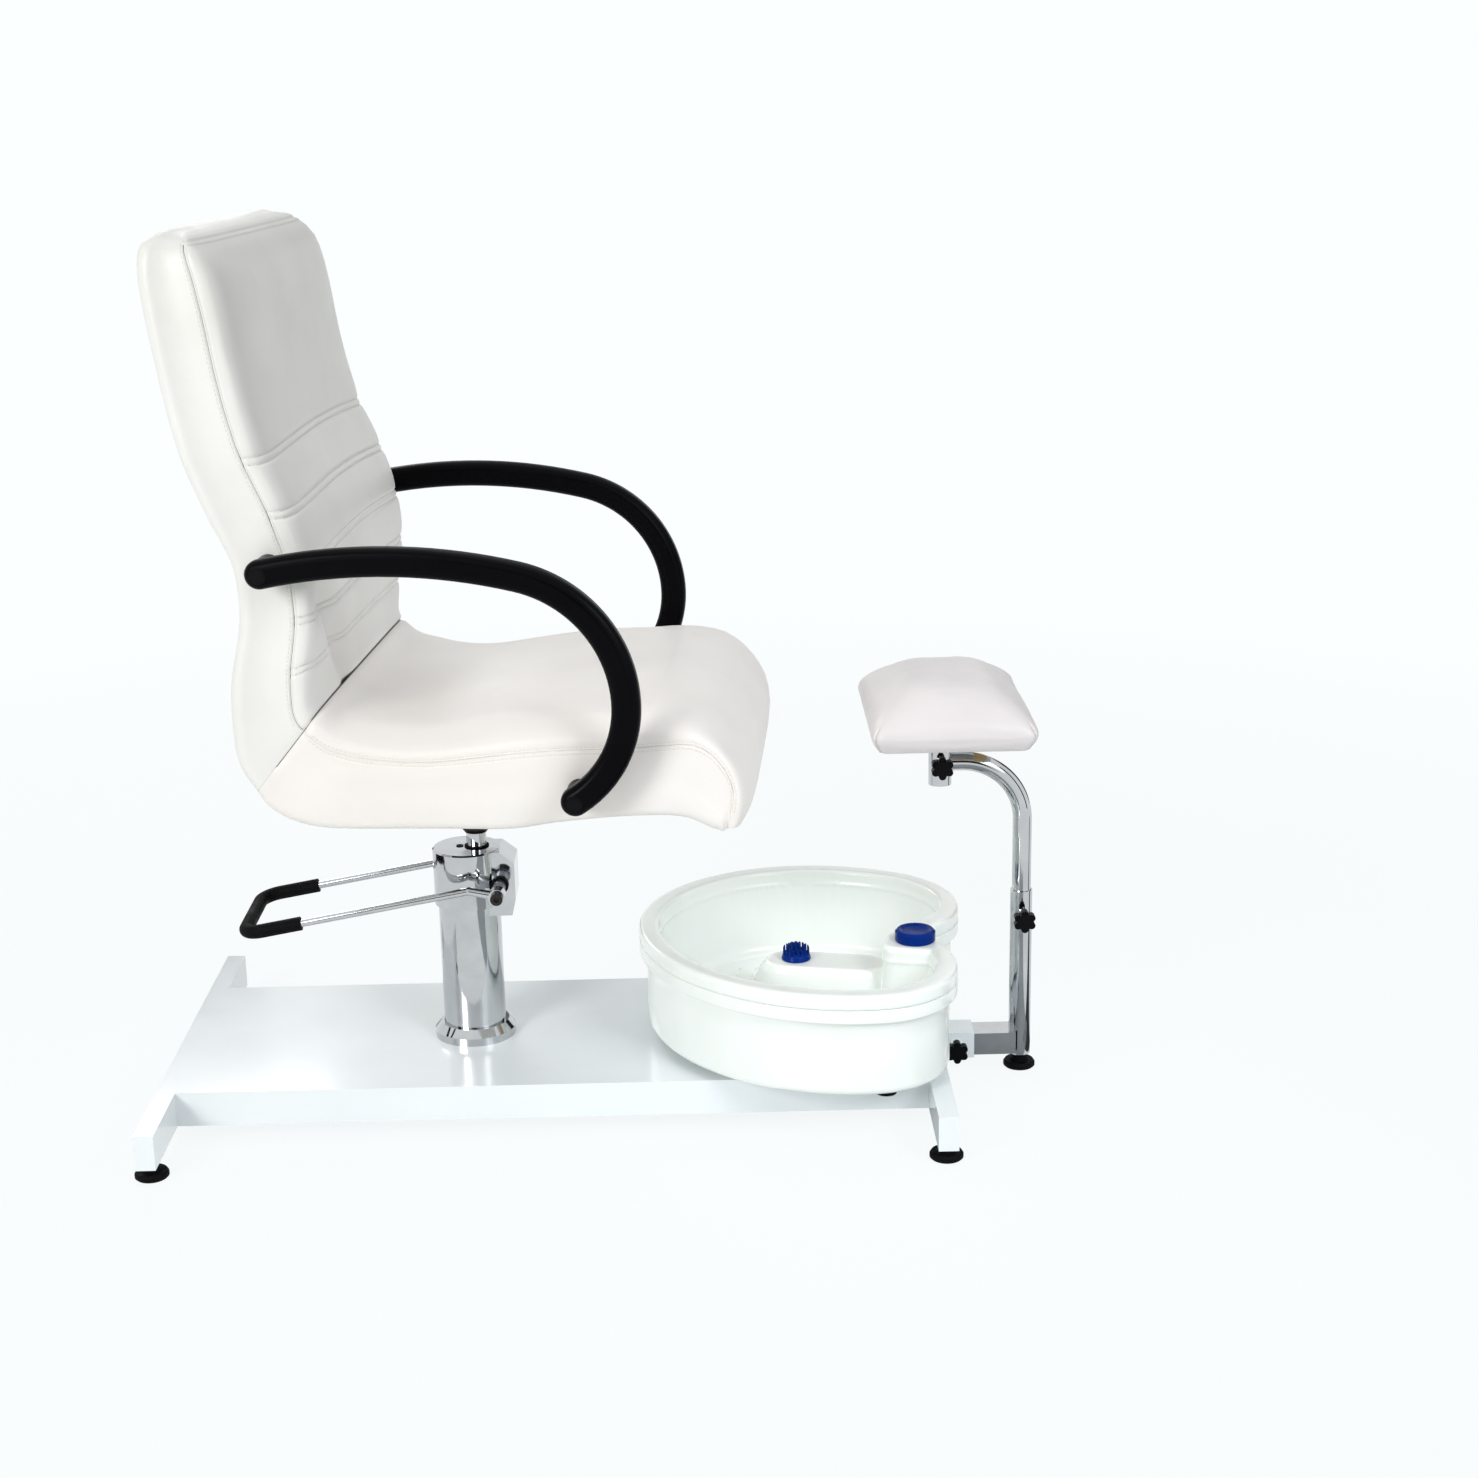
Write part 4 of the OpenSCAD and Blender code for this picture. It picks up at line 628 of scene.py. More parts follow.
def swollen(points, pinned, pressure, cap_mm):
    """How far in mm each grid point moves outward under pressure. Pinned lists the points held still."""
    sheet = mesh_object("swelling_cloth", points.reshape(-1, 3) / 1000, grid_faces(*points.shape[:2]))
    group = sheet.vertex_groups.new(name="pins")
    group.add([int(i) for i in pinned], 1.0, "REPLACE")
    cloth = sheet.modifiers.new("cloth", "CLOTH")
    settings = cloth.settings
    settings.vertex_group_mass = "pins"
    settings.effector_weights.gravity = 0
    settings.use_pressure = True
    settings.uniform_pressure_force = pressure
    for name, value in STIFFNESS.items():
        setattr(settings, name, value)
    cloth.point_cache.frame_start, cloth.point_cache.frame_end = 1, SIM_FRAMES
    for step in range(1, SIM_FRAMES + 1):
        bpy.context.scene.frame_set(step)
    evaluated = sheet.evaluated_get(bpy.context.evaluated_depsgraph_get())
    moved = np.array([v.co for v in evaluated.data.vertices]).reshape(points.shape) * 1000
    bpy.context.scene.frame_set(1)
    bpy.data.objects.remove(sheet)
    outward = ((moved - points) * grid_normals(points)).sum(-1)
    return np.clip(np.nan_to_num(outward), -1.0, cap_mm)


def swelling_of(title, rows, t_mm, lines, pressure, cap_mm):
    """Simulates a coarse copy of a cover and returns the movement for every point of the fine grid."""
    t_of, length = seam_length(rows)
    line_mm = np.array([mm_at(rows, t) + s * LINE_GAP for t in lines for s in (-1, 1)])
    even = np.arange(0, length[-1], SIM_PITCH)
    if len(line_mm):
        even = even[np.min(np.abs(even[:, None] - line_mm[None, :]), axis=1) > 4]
    coarse_mm = np.unique(np.concatenate([even, line_mm, [length[-1]]]))
    points, past = cover_grid(rows, np.interp(coarse_mm, length, t_of))
    full = np.arange(points.shape[1])
    columns = np.flatnonzero((np.abs(past[0]) < 0.1) | (past[0] == ON_REAR) | (np.abs(past[0]) > 7))
    points, past = points[:, columns], past[:, columns]
    on_line = np.isin(coarse_mm, line_mm)[:, None] & (past > 0)
    pinned = (np.abs(past) < 0.1) | (past == ON_REAR) | on_line
    pinned[0] = pinned[-1] = True
    moved = swollen(points, np.flatnonzero(pinned), pressure, cap_mm)
    closed = np.concatenate([columns, [len(full)]])
    across = np.array([np.interp(full, closed, np.concatenate([row, row[:1]])) for row in moved])
    result = np.array([np.interp(t_mm, coarse_mm, across[:, j]) for j in full]).T
    ends = smooth_step(t_mm, 0, 70) * (0.2 + 0.8 * smooth_step(length[-1] - t_mm, 40, 130))
    result = result * ends[:, None]
    print(title, "swells by up to", round(float(result.max()), 1), "mm")
    return result


back_swell = swelling_of("back", BACK_ROWS, back_mm, CHANNELS + (TOP_SEAM,), 5.0, 6.0)
seat_swell = swelling_of("seat", SEAT_ROWS, seat_mm, (), 4.0, 6.0)

# %% [markdown]
# Now everything is added up: swelling, seam and channel dents, puckers, the groove where seat
# and back meet, and one long soft crease that forms where the back's lower part bends.

# %% Finish the covers' surfaces
def mitre_groove(t_mm, past):
    """Seat and back are sewn together where they meet, deep in front and shallow on the side."""
    deep = np.where(past > 0, 4.5, 2.6 * smooth_step(past, -70, -50)) * (past > ON_REAR)
    return -deep * np.clip(1 - t_mm / 10, 0, 1) ** 2.2


def dressed(rows, t_mm, points, past, swell, lines=(), single=()):
    """The grid with all that sewing does to it. Its side seams end at the first single seam."""
    along = t_mm[:, None] + 0 * past
    front, to_end = past > 0, seam_length(rows)[1][-1] - along
    move = swell + mitre_groove(along, past)
    end_of_seam = mm_at(rows, single[0]) if single else seam_length(rows)[1][-1]
    seam_lives = smooth_step(end_of_seam + 2 - along, 0, 6) * smooth_step(to_end, 8, 34)
    puckers = pucker(along, past, 11, 1.3) * smooth_step(along, 8, 30) * smooth_step(to_end, 4, 24)
    move = move + (past > ON_REAR) * seam_lives * (seam_dent(past) + puckers)
    for index, t in enumerate(lines):
        x = along - mm_at(rows, t)
        fade = front * (0.35 + 0.65 * smooth_step(past, 3, 16))
        move = move + fade * (channel_dent(x)
                              + 0.5 * pucker(points[..., 1] * 1.7, np.abs(x) - LINE_GAP, 9, index))
    for t in single:
        x = along - mm_at(rows, t)
        move = move + front * 0.4 * (seam_dent(x) + pucker(points[..., 1], x, 9, 4))
    return points + grid_normals(points) * move[..., None]


def crease(points, past, start, end, width, depth):
    """A soft valley in the front panel along a line from start to end, given as (across, up)."""
    start, end = np.array(start, float), np.array(end, float)
    line = end - start
    spot = points[..., 1:] - start
    share = np.clip((spot @ line) / (line @ line), 0, 1)
    off = np.linalg.norm(spot - share[..., None] * line, axis=-1)
    ends = smooth_step(share, 0, 0.25) * (0.3 + 0.7 * smooth_step(1 - share, 0, 0.3))
    return -depth * ends * bell(off, width) * smooth_step(past, 6, 20)


back_finished = dressed(BACK_ROWS, back_mm, back_grid, back_past, back_swell, CHANNELS, (TOP_SEAM,))
valley = crease(back_finished, back_past, (-262, 736), (-92, 560), 17, 12.0)
back_finished = back_finished + grid_normals(back_grid) * valley[..., None]
seat_finished = dressed(SEAT_ROWS, seat_mm, seat_grid, seat_past, seat_swell)
front_pull = (0.9 * pucker(seat_mm[:, None] * 0.8 + 0 * seat_past, seat_past - 3, 16, 2.4)
              * (seat_past > ON_REAR))
front_pull *= (smooth_step(seat_mm, 430, 500) * smooth_step(seat_mm[-1] - seat_mm, 8, 40))[:, None]
seat_finished = seat_finished + grid_normals(seat_grid) * front_pull[..., None]
print("back reaches", back_finished[..., 2].max().round(1), "mm; seat's front is at",
      seat_finished[..., 0].max().round(1))

# %% [markdown]
# Each grid becomes one closed mesh and rides on the chair's body in place of the plain solid.

# %% Covers as meshes
for name, grid, finish, node in (("back_cover", back_finished, LEATHERETTE, "back_cushion"),
                                 ("seat_cover", seat_finished, SEAT_LEATHERETTE, "seat_cushion")):
    fitted(capped_mesh(name, from_chair(grid), finish), "chair", node)

# %% [markdown]
# The thread is bonded polyester, 1 mm thick, at about five millimetres a stitch. Every stitch is
# drawn, because a row of them catches light as no groove can. They follow the finished grid's
# own rows and columns, so they lie in the dents made for them.

# %% Stitches
STITCH_PITCH, STITCH_L, STITCH_R = 5.2, 3.9, 0.5
STITCH_PROFILE = ((-0.5, 0.25, -0.6), (-0.36, 1.0, 0.35), (0.36, 1.0, 0.35), (0.5, 0.25, -0.6))
SIX = circle(6)


def sew(name, tubes, finish):
    """One mesh of closed six-sided tubes, each a list of (middle, side, out, radius)."""
    vertices, faces = [], []
    for tube in tubes:
        start, last = len(vertices), len(vertices) + 6 * (len(tube) - 1)
        for middle, side, out, radius in tube:
            vertices += [middle + radius * (c * side + s * out) for c, s in SIX]
        faces += grid_faces(len(tube), 6, start)
        faces += [tuple(start + j for j in range(5, -1, -1)), tuple(last + j for j in range(6))]
    return fitted(finished(mesh_object(name, from_chair(np.array(vertices)) / 1000, faces), finish),
                  "chair")


def stitch_tubes(line, normals):
    """Stitches at an even pitch along a line of points with outward normals."""
    length = np.concatenate([[0], np.cumsum(np.linalg.norm(np.diff(line, axis=0), axis=1))])
    at = np.arange(STITCH_PITCH, length[-1] - STITCH_PITCH / 2, STITCH_PITCH)
    spots, ahead, out = (np.stack([np.interp(at + shift, length, source[:, k]) for k in range(3)], -1)
                         for shift, source in ((0, line), (0.5, line), (0, normals)))
    for spot, ahead, out in zip(spots, unit(ahead - spots), unit(out)):
        yield [(spot + ahead * share * STITCH_L + out * STITCH_R * lift, np.cross(ahead, out), out,
                STITCH_R * r) for share, r, lift in STITCH_PROFILE]


def column_line(points, past, offset, near, rows):
    """The grid column at a distance past the seam, on the near or the far side."""
    column = np.flatnonzero((np.abs(past[0] - offset) < 0.01) & ((points[0, :, 1] < 0) == near))[0]
    return points[rows, column], grid_normals(points)[rows, column]


def row_line(points, past, t_mm, at):
    """The grid row nearest to a length along the seam, over the crowned panel only."""
    row = int(np.argmin(np.abs(t_mm - at)))
    across = np.flatnonzero(past[row] > 1.5)
    across = across[np.argsort(points[row, across, 1])]
    return points[row, across], grid_normals(points)[row, across]


top_mm = mm_at(BACK_ROWS, TOP_SEAM)
lines = []
for near in (True, False):
    on_back = np.flatnonzero((back_mm > 6) & (back_mm < top_mm))
    on_seat = np.flatnonzero((seat_mm > 6) & (seat_mm < seat_mm[-1] - 12))
    lines.append(column_line(back_finished, back_past, -4.0, near, on_back))
    lines += [column_line(seat_finished, seat_past, offset, near, on_seat) for offset in (-4.0, 4.0)]
places = [mm_at(BACK_ROWS, t) + s * LINE_GAP for t in CHANNELS for s in (-1, 1)] + [top_mm - 4]
lines += [row_line(back_finished, back_past, back_mm, at) for at in places]
sew("cover_stitches", [tube for line in lines for tube in stitch_tubes(*line)], THREAD)

# %% [markdown]
# Between two panels the eye sees a fine dark line: the seam's gap, in shade, with its lock thread at the
# bottom.
# A thin cord of painted shade, grey where the gap's shadow falls, lies in the back's side seams and across
# the mitre.

# %% Seam lines of painted shade
CORD_R, CORD_SINK = 0.65, 0.1


def cord_tube(line, normals):
    """A thin cord along a line, a little under the surface."""
    sides = np.cross(unit(np.gradient(line, axis=0)), normals)
    return [(point - CORD_SINK * out, side, out, CORD_R) for point, side, out in zip(line, sides, normals)]


def mitre_line(points, past, near):
    """The first row over one boxing strip, or over the crowned panel where near is None."""
    shown = (past[0] > 0 if near is None
             else (past[0] > -60) & (past[0] <= 0) & ((points[0, :, 1] < 0) == near))
    across = np.flatnonzero(shown)
    across = across[np.argsort(points[0, across, 1] if near is None else past[0, across])]
    return points[0, across], grid_normals(points)[0, across]


cords = [mitre_line(seat_finished, seat_past, near) for near in (None, True, False)]
on_back = np.flatnonzero((back_mm > 2) & (back_mm < top_mm - 4))
cords += [column_line(back_finished, back_past, 0.0, near, on_back) for near in (True, False)]
sew("cover_seam_shade_cords", [cord_tube(*cord) for cord in cords], SEAM_GAP_SHADE)

# %% [markdown]
# The leg pad is a board with a block of foam under one piece of leatherette. Its four corners are
# folded and sewn from the board upwards, so each corner shows a short seam, and above that the leather
# runs smoothly over the crown. Below, the leather is turned under and stapled flat. A row holds a
# share of the height, how far the sides stand out there, and the corners' radius.

# %% Leg pad form
PAD_X = 623.0 - ORIGIN_X
PAD_L, PAD_W, PAD_Z, PAD_H, PAD_BULGE = 181.0, 250.0, 474.0, 76.0, 13.0
PAD_ROWS = np.array([
    (-0.01, -0.9, 8), (0, -0.1, 9), (0.03, 0.3, 10), (0.10, 0.65, 11), (0.2, 0.95, 13),
    (0.3, 1.05, 16), (0.46, 0.65, 20), (0.64, -0.45, 24), (0.8, -1.8, 28), (0.91, -2.8, 31),
    (0.97, -3.7, 30), (0.995, -5.2, 18)])
CORNER_STEPS, SIDE_STEPS = 22, 14
FAR_OFF = 99.0


def pad_ring(row):
    """One level of the pad as points, with each point's distance in mm from its corner's middle."""
    growth, r = row[1] * PAD_BULGE, row[2]
    hx, hy = PAD_L / 2 + growth, PAD_W / 2 + growth
    r = max(2.0, min(r, hx - 1.0))
    turn = np.linspace(-1, 1, CORNER_STEPS + 1)
    turn = 45 + 45 * np.sign(turn) * np.abs(turn) ** 1.7
    points, off = [], []
    for index, (sx, sy) in enumerate(((1, 1), (-1, 1), (-1, -1), (1, -1))):
        angles = np.radians(turn + 90 * index)
        corner = np.array([sx * (hx - r), sy * (hy - r)])
        rounded = corner + r * np.stack([np.cos(angles), np.sin(angles)], -1)
        edge = corner * ((-2, 0) if index % 2 == 0 else (0, -2))
        points += [rounded, rounded[-1] + edge * np.linspace(0, 1, SIDE_STEPS + 1)[1:-1, None]]
        off += [np.radians(turn - 45) * r, np.full(SIDE_STEPS - 1, FAR_OFF)]
    z = PAD_Z + max(0.0, row[0]) * PAD_H + (0.6 if row[0] < 0 else 0.0)
    flat = np.concatenate(points)
    return np.column_stack([flat, np.full(len(flat), z)]), np.concatenate(off)


levels = np.unique(np.concatenate([np.linspace(0, 3, 10), np.linspace(3, len(PAD_ROWS) - 1, 34)]))
pad_points, pad_off = (np.array(part) for part in zip(*[pad_ring(row) for row in row_at(PAD_ROWS, levels)]))
print("leg pad grid:", pad_points.shape)

# %% [markdown]
# The pad swells like the covers, pinned over the six lowest rings, where it is stapled. The corner
# seams and the folds that radiate from them are drawn in afterwards by a formula.

# %% Leg pad cover
CORNER_SEAM_H = 40.0
PINNED_POINTS = 900


def pad_seams(points, off):
    up = points[..., 2] - PAD_Z
    alive = smooth_step(CORNER_SEAM_H - up, 0, 14) * smooth_step(up, -1, 2)
    folds = 0.5 * np.sin(up / 2.6 + 1.7 * np.sin(up / 9)) * np.exp(-np.abs(off) / 7)
    sag = 0.7 * np.sin(points[..., 0] / 23 + 1) * np.sin(points[..., 1] / 31) * smooth_step(up, 10, 40)
    return alive * (-2.8 * bell(off, 1.4) + folds) + sag


pad_swell = swollen(pad_points, range(1, PINNED_POINTS), 4.0, 2.5)
pad_finished = pad_points + grid_normals(pad_points) * (pad_swell + pad_seams(pad_points, pad_off))[..., None]
pad_finished[..., 2] = np.clip(pad_finished[..., 2], PAD_Z, PAD_Z + PAD_H + 4)
fitted(capped_mesh("leg_pad_cover", pad_finished + (PAD_X, 0, 0), PAD_LEATHERETTE, 0.3),
       "pad", "leg_pad")

# %% [markdown]
# The foot bath is a heart: a tip arc, two long side arcs, two lobes and a small notch, all tangent.
# Offsetting each arc's radius draws the same heart further in, so every level of the bowl comes from
# one formula. The heart leans a little and is turned on the base plate.

# %% Foot bath outline
TIP_R, SIDE_R, LOBE_R, NOTCH_R = 100.0, 254.0, 130.0, 28.0
LOBE_AT = np.array([195.0, 110.0])
BATH_SKEW, BATH_TURN = 0.12, math.radians(-13)
BATH_AT = np.array([319.0 - ORIGIN_X, 12.0, 0.0])


def angle_of(v):
    return math.degrees(math.atan2(v[1], v[0]))


def side_centre():
    """The centre of the long side arc, tangent to the tip and the lobe from inside."""
    reach, p, q = np.hypot(*LOBE_AT), SIDE_R - TIP_R, SIDE_R - LOBE_R
    a = (p * p - q * q + reach * reach) / (2 * reach)
    h = math.sqrt(p * p - a * a)
    return np.array([LOBE_AT[0] * a + LOBE_AT[1] * h, LOBE_AT[1] * a - LOBE_AT[0] * h]) / reach


def arc(centre, radius, start, stop, steps, last=False):
    """Points of an arc in degrees, with or without its last one."""
    return [np.asarray(centre) + polar(radius, a) for a in np.linspace(start, stop, steps, endpoint=last)]


side_c = side_centre()
notch_c = np.array([LOBE_AT[0] + math.sqrt((LOBE_R + NOTCH_R) ** 2 - LOBE_AT[1] ** 2), 0])
NOTCH_X = notch_c[0] - NOTCH_R
TIP_END, LOBE_START = angle_of(-side_c), angle_of(LOBE_AT - side_c)
NOTCH_HALF = angle_of((notch_c[0] - LOBE_AT[0], LOBE_AT[1]))


def skewed(points):
    points = np.array(points, float)
    points[..., 0] -= BATH_SKEW * points[..., 1]
    return points


def heart(inward):
    """The outline as points, a distance inward from the rim's outer edge."""
    half = arc((0, 0), TIP_R - inward, 180, TIP_END, 36)
    half += arc(side_c, SIDE_R - inward, TIP_END, LOBE_START, 30)
    half += arc(LOBE_AT, LOBE_R - inward, LOBE_START, -NOTCH_HALF, 56)
    half += arc(notch_c, NOTCH_R + inward, 180 - NOTCH_HALF, 180, 14) + [notch_c - (NOTCH_R + inward, 0)]
    return skewed([p * (1, -1) for p in half] + half[-2:0:-1])


def rings(levels):
    """Levels of (outline, height) in the bath's own millimetres, set down on the base plate."""
    c, s = math.cos(BATH_TURN), math.sin(BATH_TURN)
    points = np.array([np.column_stack([outline, np.full(len(outline), z)]) for outline, z in levels])
    x, y = points[..., 0], points[..., 1]
    return np.stack([c * x - s * y, s * x + c * y, points[..., 2]], -1) + BATH_AT


def heart_rings(profile):
    return rings([(heart(inward), z) for inward, z in profile])


def round_rings(centre, profile, steps):
    """Circles around a centre in the bath's plan, from a list of (radius, height)."""
    return rings([(centre + r * circle(steps), z) for r, z in profile])


print("heart outline:", len(heart(0)), "points, notch at", round(NOTCH_X, 1), "mm")

# %% [markdown]
# The bowl is moulded in one piece with its ridge, where the massage head turns, and with the
# pod under the dial. In a mould nothing meets at a sharp line. Here the pieces are joined
# by a voxel remesh, and a few rounds of smoothing turn their joints into soft fillets. The skin is
# drawn 5 mm thick inwards, where nobody looks, so that no voxel falls through it.

# %% Bowl, ridge and pod
RIM_Z, RIM_W, WALL, SKIN = 213.0, 27.0, 3.0, 5.0
CASING_Z, TUB_FLOOR, SPLIT_Z, BAND_Z, CASING_IN = 77.0, 95.0, 194.0, 177.0, 10.0
RIDGE_Z, RIDGE_R, POD_R, POD_CORNER = 170.0, 34.0, 34.0, 18.0
DIAL_AT, HEAD_AT = skewed((NOTCH_X - 11, -35)), skewed((112, -14))


def bowl_profile():
    outer, inner = 5.0, 3.5
    outside = [(SKIN, SPLIT_Z + 0.4), (1.0, SPLIT_Z + 0.4), (0, SPLIT_Z + 1.4), (0, RIM_Z - outer - 2)]
    over = arc((outer, RIM_Z - outer), outer, 180, 90, 6, True)
    over += arc((RIM_W - inner, RIM_Z - inner), inner, 90, 10, 6, True)
    floor_edge = arc((RIM_W + 26, TUB_FLOOR + 18), 18, 188, 270, 8, True)
    inside = [(RIM_W + 3, RIM_Z - 50), (RIM_W + 6, RIM_Z - 80)] + floor_edge + [(RIM_W + 60, TUB_FLOOR)]
    below = [(RIM_W + 60, TUB_FLOOR - SKIN), (RIM_W + 20, TUB_FLOOR - SKIN), (RIM_W + 4, TUB_FLOOR + 8),
             (RIM_W + 1 - SKIN, RIM_Z - 60), (RIM_W - 1 - SKIN, RIM_Z - 14)]
    under_rim = [(RIM_W - SKIN - 4, RIM_Z - SKIN), (SKIN + 4, RIM_Z - SKIN), (SKIN, RIM_Z - 10)]
    return outside + over + inside + below + under_rim + [(SKIN, SPLIT_Z + 0.4)]


def ridge_levels():
    """The ridge swells from the floor with a hollow flank and a rounded shoulder."""
    for share in np.linspace(0, 1, 18):
        r = RIDGE_R + 20 * (1 - share) ** 1.4 if share < 0.9 else RIDGE_R - 60 * (share - 0.9) ** 1.2
        slack = 52 - r
        right, left = (NOTCH_X - 74 - slack * 0.2, HEAD_AT[1]), (84 + slack, HEAD_AT[1])
        capsule = arc(right, r, -90, 90, 30, True) + arc(left, r, 90, 270, 30, True)
        yield np.array(capsule), TUB_FLOOR - 2 + share * (RIDGE_Z - TUB_FLOOR + 2)


def kept_inside(points, fence):
    """Points outside the fence polygon move to their nearest place on it."""
    ends = np.roll(fence, -1, axis=0)
    edge = ends - fence
    result = []
    for p in points:
        crosses = (fence[:, 1] > p[1]) != (ends[:, 1] > p[1])
        with np.errstate(divide="ignore", invalid="ignore"):
            cut = edge[:, 0] * (p[1] - fence[:, 1]) / edge[:, 1] + fence[:, 0]
        if not (crosses & (p[0] < cut)).sum() % 2:
            share = np.clip(((p - fence) * edge).sum(1) / np.maximum((edge * edge).sum(1), 1e-9), 0, 1)
            near = fence + share[:, None] * edge
            p = near[np.argmin(np.hypot(*(near - p).T))]
        result.append(p)
    return np.array(result)


def pod_outline(radius):
    """A column with two rounded corners that widens towards the notch."""
    x, y = DIAL_AT
    corner, far_x = radius - POD_CORNER, x + 45
    outline = arc((x - 6 - corner, y + corner), POD_CORNER, 90, 180, 14, True)
    outline += arc((x - 6 - corner, y - corner), POD_CORNER, 180, 270, 14, True)
    outline += [(px, y - radius) for px in np.linspace(x - 2 - corner, far_x, 16)]
    outline += [(far_x, py) for py in np.linspace(y - radius, radius, 30)[1:]]
    outline += [(px, radius - (far_x - px) * 0.75) for px in np.linspace(far_x, x - 4, 16)[1:]]
    return kept_inside(np.array(outline), heart(RIM_W * 0.6))


pod_levels = [(pod_outline(POD_R + grown), z) for grown, z in (
    (3, TUB_FLOOR - 2), (0, TUB_FLOOR + 16), (0, RIM_Z - 5), (-1.2, RIM_Z - 2), (-4, RIM_Z))]
pieces = [capped_mesh("bowl_shell", heart_rings(bowl_profile()), BASIN),
          capped_mesh("bowl_ridge", rings(ridge_levels()), BASIN),
          capped_mesh("bowl_pod", rings(pod_levels), BASIN)]
print("bowl pieces:", [len(piece.data.polygons) for piece in pieces])

# %% [markdown]
# The remesh works on one mesh, so the pieces are joined first. A 2 mm voxel keeps the 5 mm skin
# whole, and the smoothing rounds everything below about 4 mm.

# %% One moulded bowl
BOWL_VOXEL = 0.0021


def joined(name, pieces, finish):
    """One object out of several meshes."""
    work = bmesh.new()
    for piece in pieces:
        work.from_mesh(piece.data)
        bpy.data.objects.remove(piece)
    made = mesh_object(name, [], [])
    work.to_mesh(made.data)
    work.free()
    made.data.materials.append(finish)
    made.data.shade_smooth()
    return made


bowl = joined("bath_bowl", pieces, BASIN)
remesh = bowl.modifiers.new("one skin", "REMESH")
remesh.mode, remesh.voxel_size, remesh.use_smooth_shade = "VOXEL", BOWL_VOXEL, True
soften = bowl.modifiers.new("mould fillets", "SMOOTH")
soften.factor, soften.iterations = 0.5, 6
moulded = bpy.data.meshes.new_from_object(bowl.evaluated_get(bpy.context.evaluated_depsgraph_get()))
bowl.modifiers.clear()
bowl.data = moulded
fitted(bowl, "bath", "bath_tub")

# %% [markdown]
# The outer casing is a second moulding, one step further in under the rim, with a tongue that
# reaches up behind the bowl's skirt and closes the joint. Rows of small domes on the
# floor massage the soles; they are pressed into the bowl and share its colour.

# %% Casing and floor domes
DOME_PITCH, DOME_R, DOME_H, DOME_SINK = 22.0, 3.5, 5.0, 0.5
DOME_FIRST, DOMES_LONG, DOMES_WIDE = (10.0, 78.0), 7, 3
FLAT = 0.3


def casing_profile():
    side, near, far, top = CASING_IN, SKIN + 1, SKIN + 4, SPLIT_Z + 5
    lip = [(side + WALL, BAND_Z + WALL), (far, BAND_Z + WALL), (far, top), (near, top), (near, SPLIT_Z)]
    band = [(1.4, SPLIT_Z), (0.4, SPLIT_Z - 0.4), (0, SPLIT_Z - 1.4)]
    band += arc((2, BAND_Z + 2), 2, 180, 270, 5, True)
    wall = [(side - 1, BAND_Z), (side, BAND_Z - 1.2), (side, BAND_Z - 30), (side, CASING_Z + 40)]
    foot = arc((side + 11, CASING_Z + 11), 11, 180, 270, 9, True)
    return [(side + WALL, CASING_Z + 20)] + lip + band + wall + foot + [(side + 40, CASING_Z)]


fitted(capped_mesh("bath_casing_shell", heart_rings(casing_profile()), BASIN),
       "bath", "bath_casing")
DOME = [(DOME_R * math.cos(a) ** 0.8, TUB_FLOOR - DOME_SINK + (DOME_H + DOME_SINK) * math.sin(a))
        for a in np.radians(np.linspace(0, 90, 7)[:-1])]
domes = []
for side in (-1, 1):
    for i in range(DOMES_LONG):
        for j in range(DOMES_WIDE):
            spot = np.array([DOME_FIRST[0] + i * DOME_PITCH, side * (DOME_FIRST[1] + j * DOME_PITCH)])
            domes.append(capped_mesh("dome", round_rings(spot, DOME, 12), BASIN, 0.4))
fitted(joined("bath_floor_domes", domes, BASIN), "bath")

# %% [markdown]
# The massage head is a low drum with soft bristles, moulded in blue. Bristles lean on a dome: the
# outer ones start lower and end lower, so the head looks like a small brush.

# %% Massage head
HEAD_Z, BRISTLE_R = RIDGE_Z + 0.3, 1.25
BRISTLE_RINGS = ((1, 0.0), (6, 5.6), (12, 11.0), (18, 16.2))
DRUM = ((18.6, 0.0), (19.2, 0.8), (19.2, 2.6), (18.4, 3.6), (18.2, 6.0), (17.4, 7.6),
        (13.0, 9.6), (7.0, 10.8))

drum_rings = round_rings(HEAD_AT, [(r, HEAD_Z + z) for r, z in DRUM], 48)
head_parts = [capped_mesh("drum", drum_rings, BLUE_ABS, FLAT)]
for count, away in BRISTLE_RINGS:
    low, high = HEAD_Z + 10.5 - 0.017 * away ** 2, HEAD_Z + 22.8 - 0.022 * away ** 2
    shaft = [(BRISTLE_R * share, z)
             for share, z in ((1.2, low - 1.5), (1, low + 1), (0.8, high - 1.2), (0.5, high - 0.3))]
    for k in range(count):
        spot = HEAD_AT + polar(away, 360 * (k + 0.5) / count)
        head_parts.append(capped_mesh("bristle", round_rings(spot, shaft, 8), BLUE_ABS, FLAT))
fitted(joined("massage_brush", head_parts, BLUE_ABS), "massager", "massage_head")

# %% [markdown]
# The floor is a large plane whose colour does most of the work: camera rays see nearly pure white
# mixed with a little plain paint, so that the chair's soft shadow stays, and one metre out the
# paint fades away, so no horizon shows. Dark cards stand around the chair and two more lie on the
# floor, all seen only in reflections. Without them chrome would have nothing dark to show, and
# would look like grey paint. Low upright chrome mirrors mostly the floor, hence the lying ones.

# %% Floor and cards
def backdrop_rays(tree):
    """1 for the camera, glossy and transmission rays, which see the backdrop instead of the room."""
    path = add_node(tree, "LightPath", {})
    seen = path.outputs["Is Camera Ray"]
    for ray in ("Is Glossy Ray", "Is Transmission Ray"):
        seen = add_node(tree, "Math", {"operation": "MAXIMUM", 0: seen, 1: path.outputs[ray]}).outputs[0]
    return seen


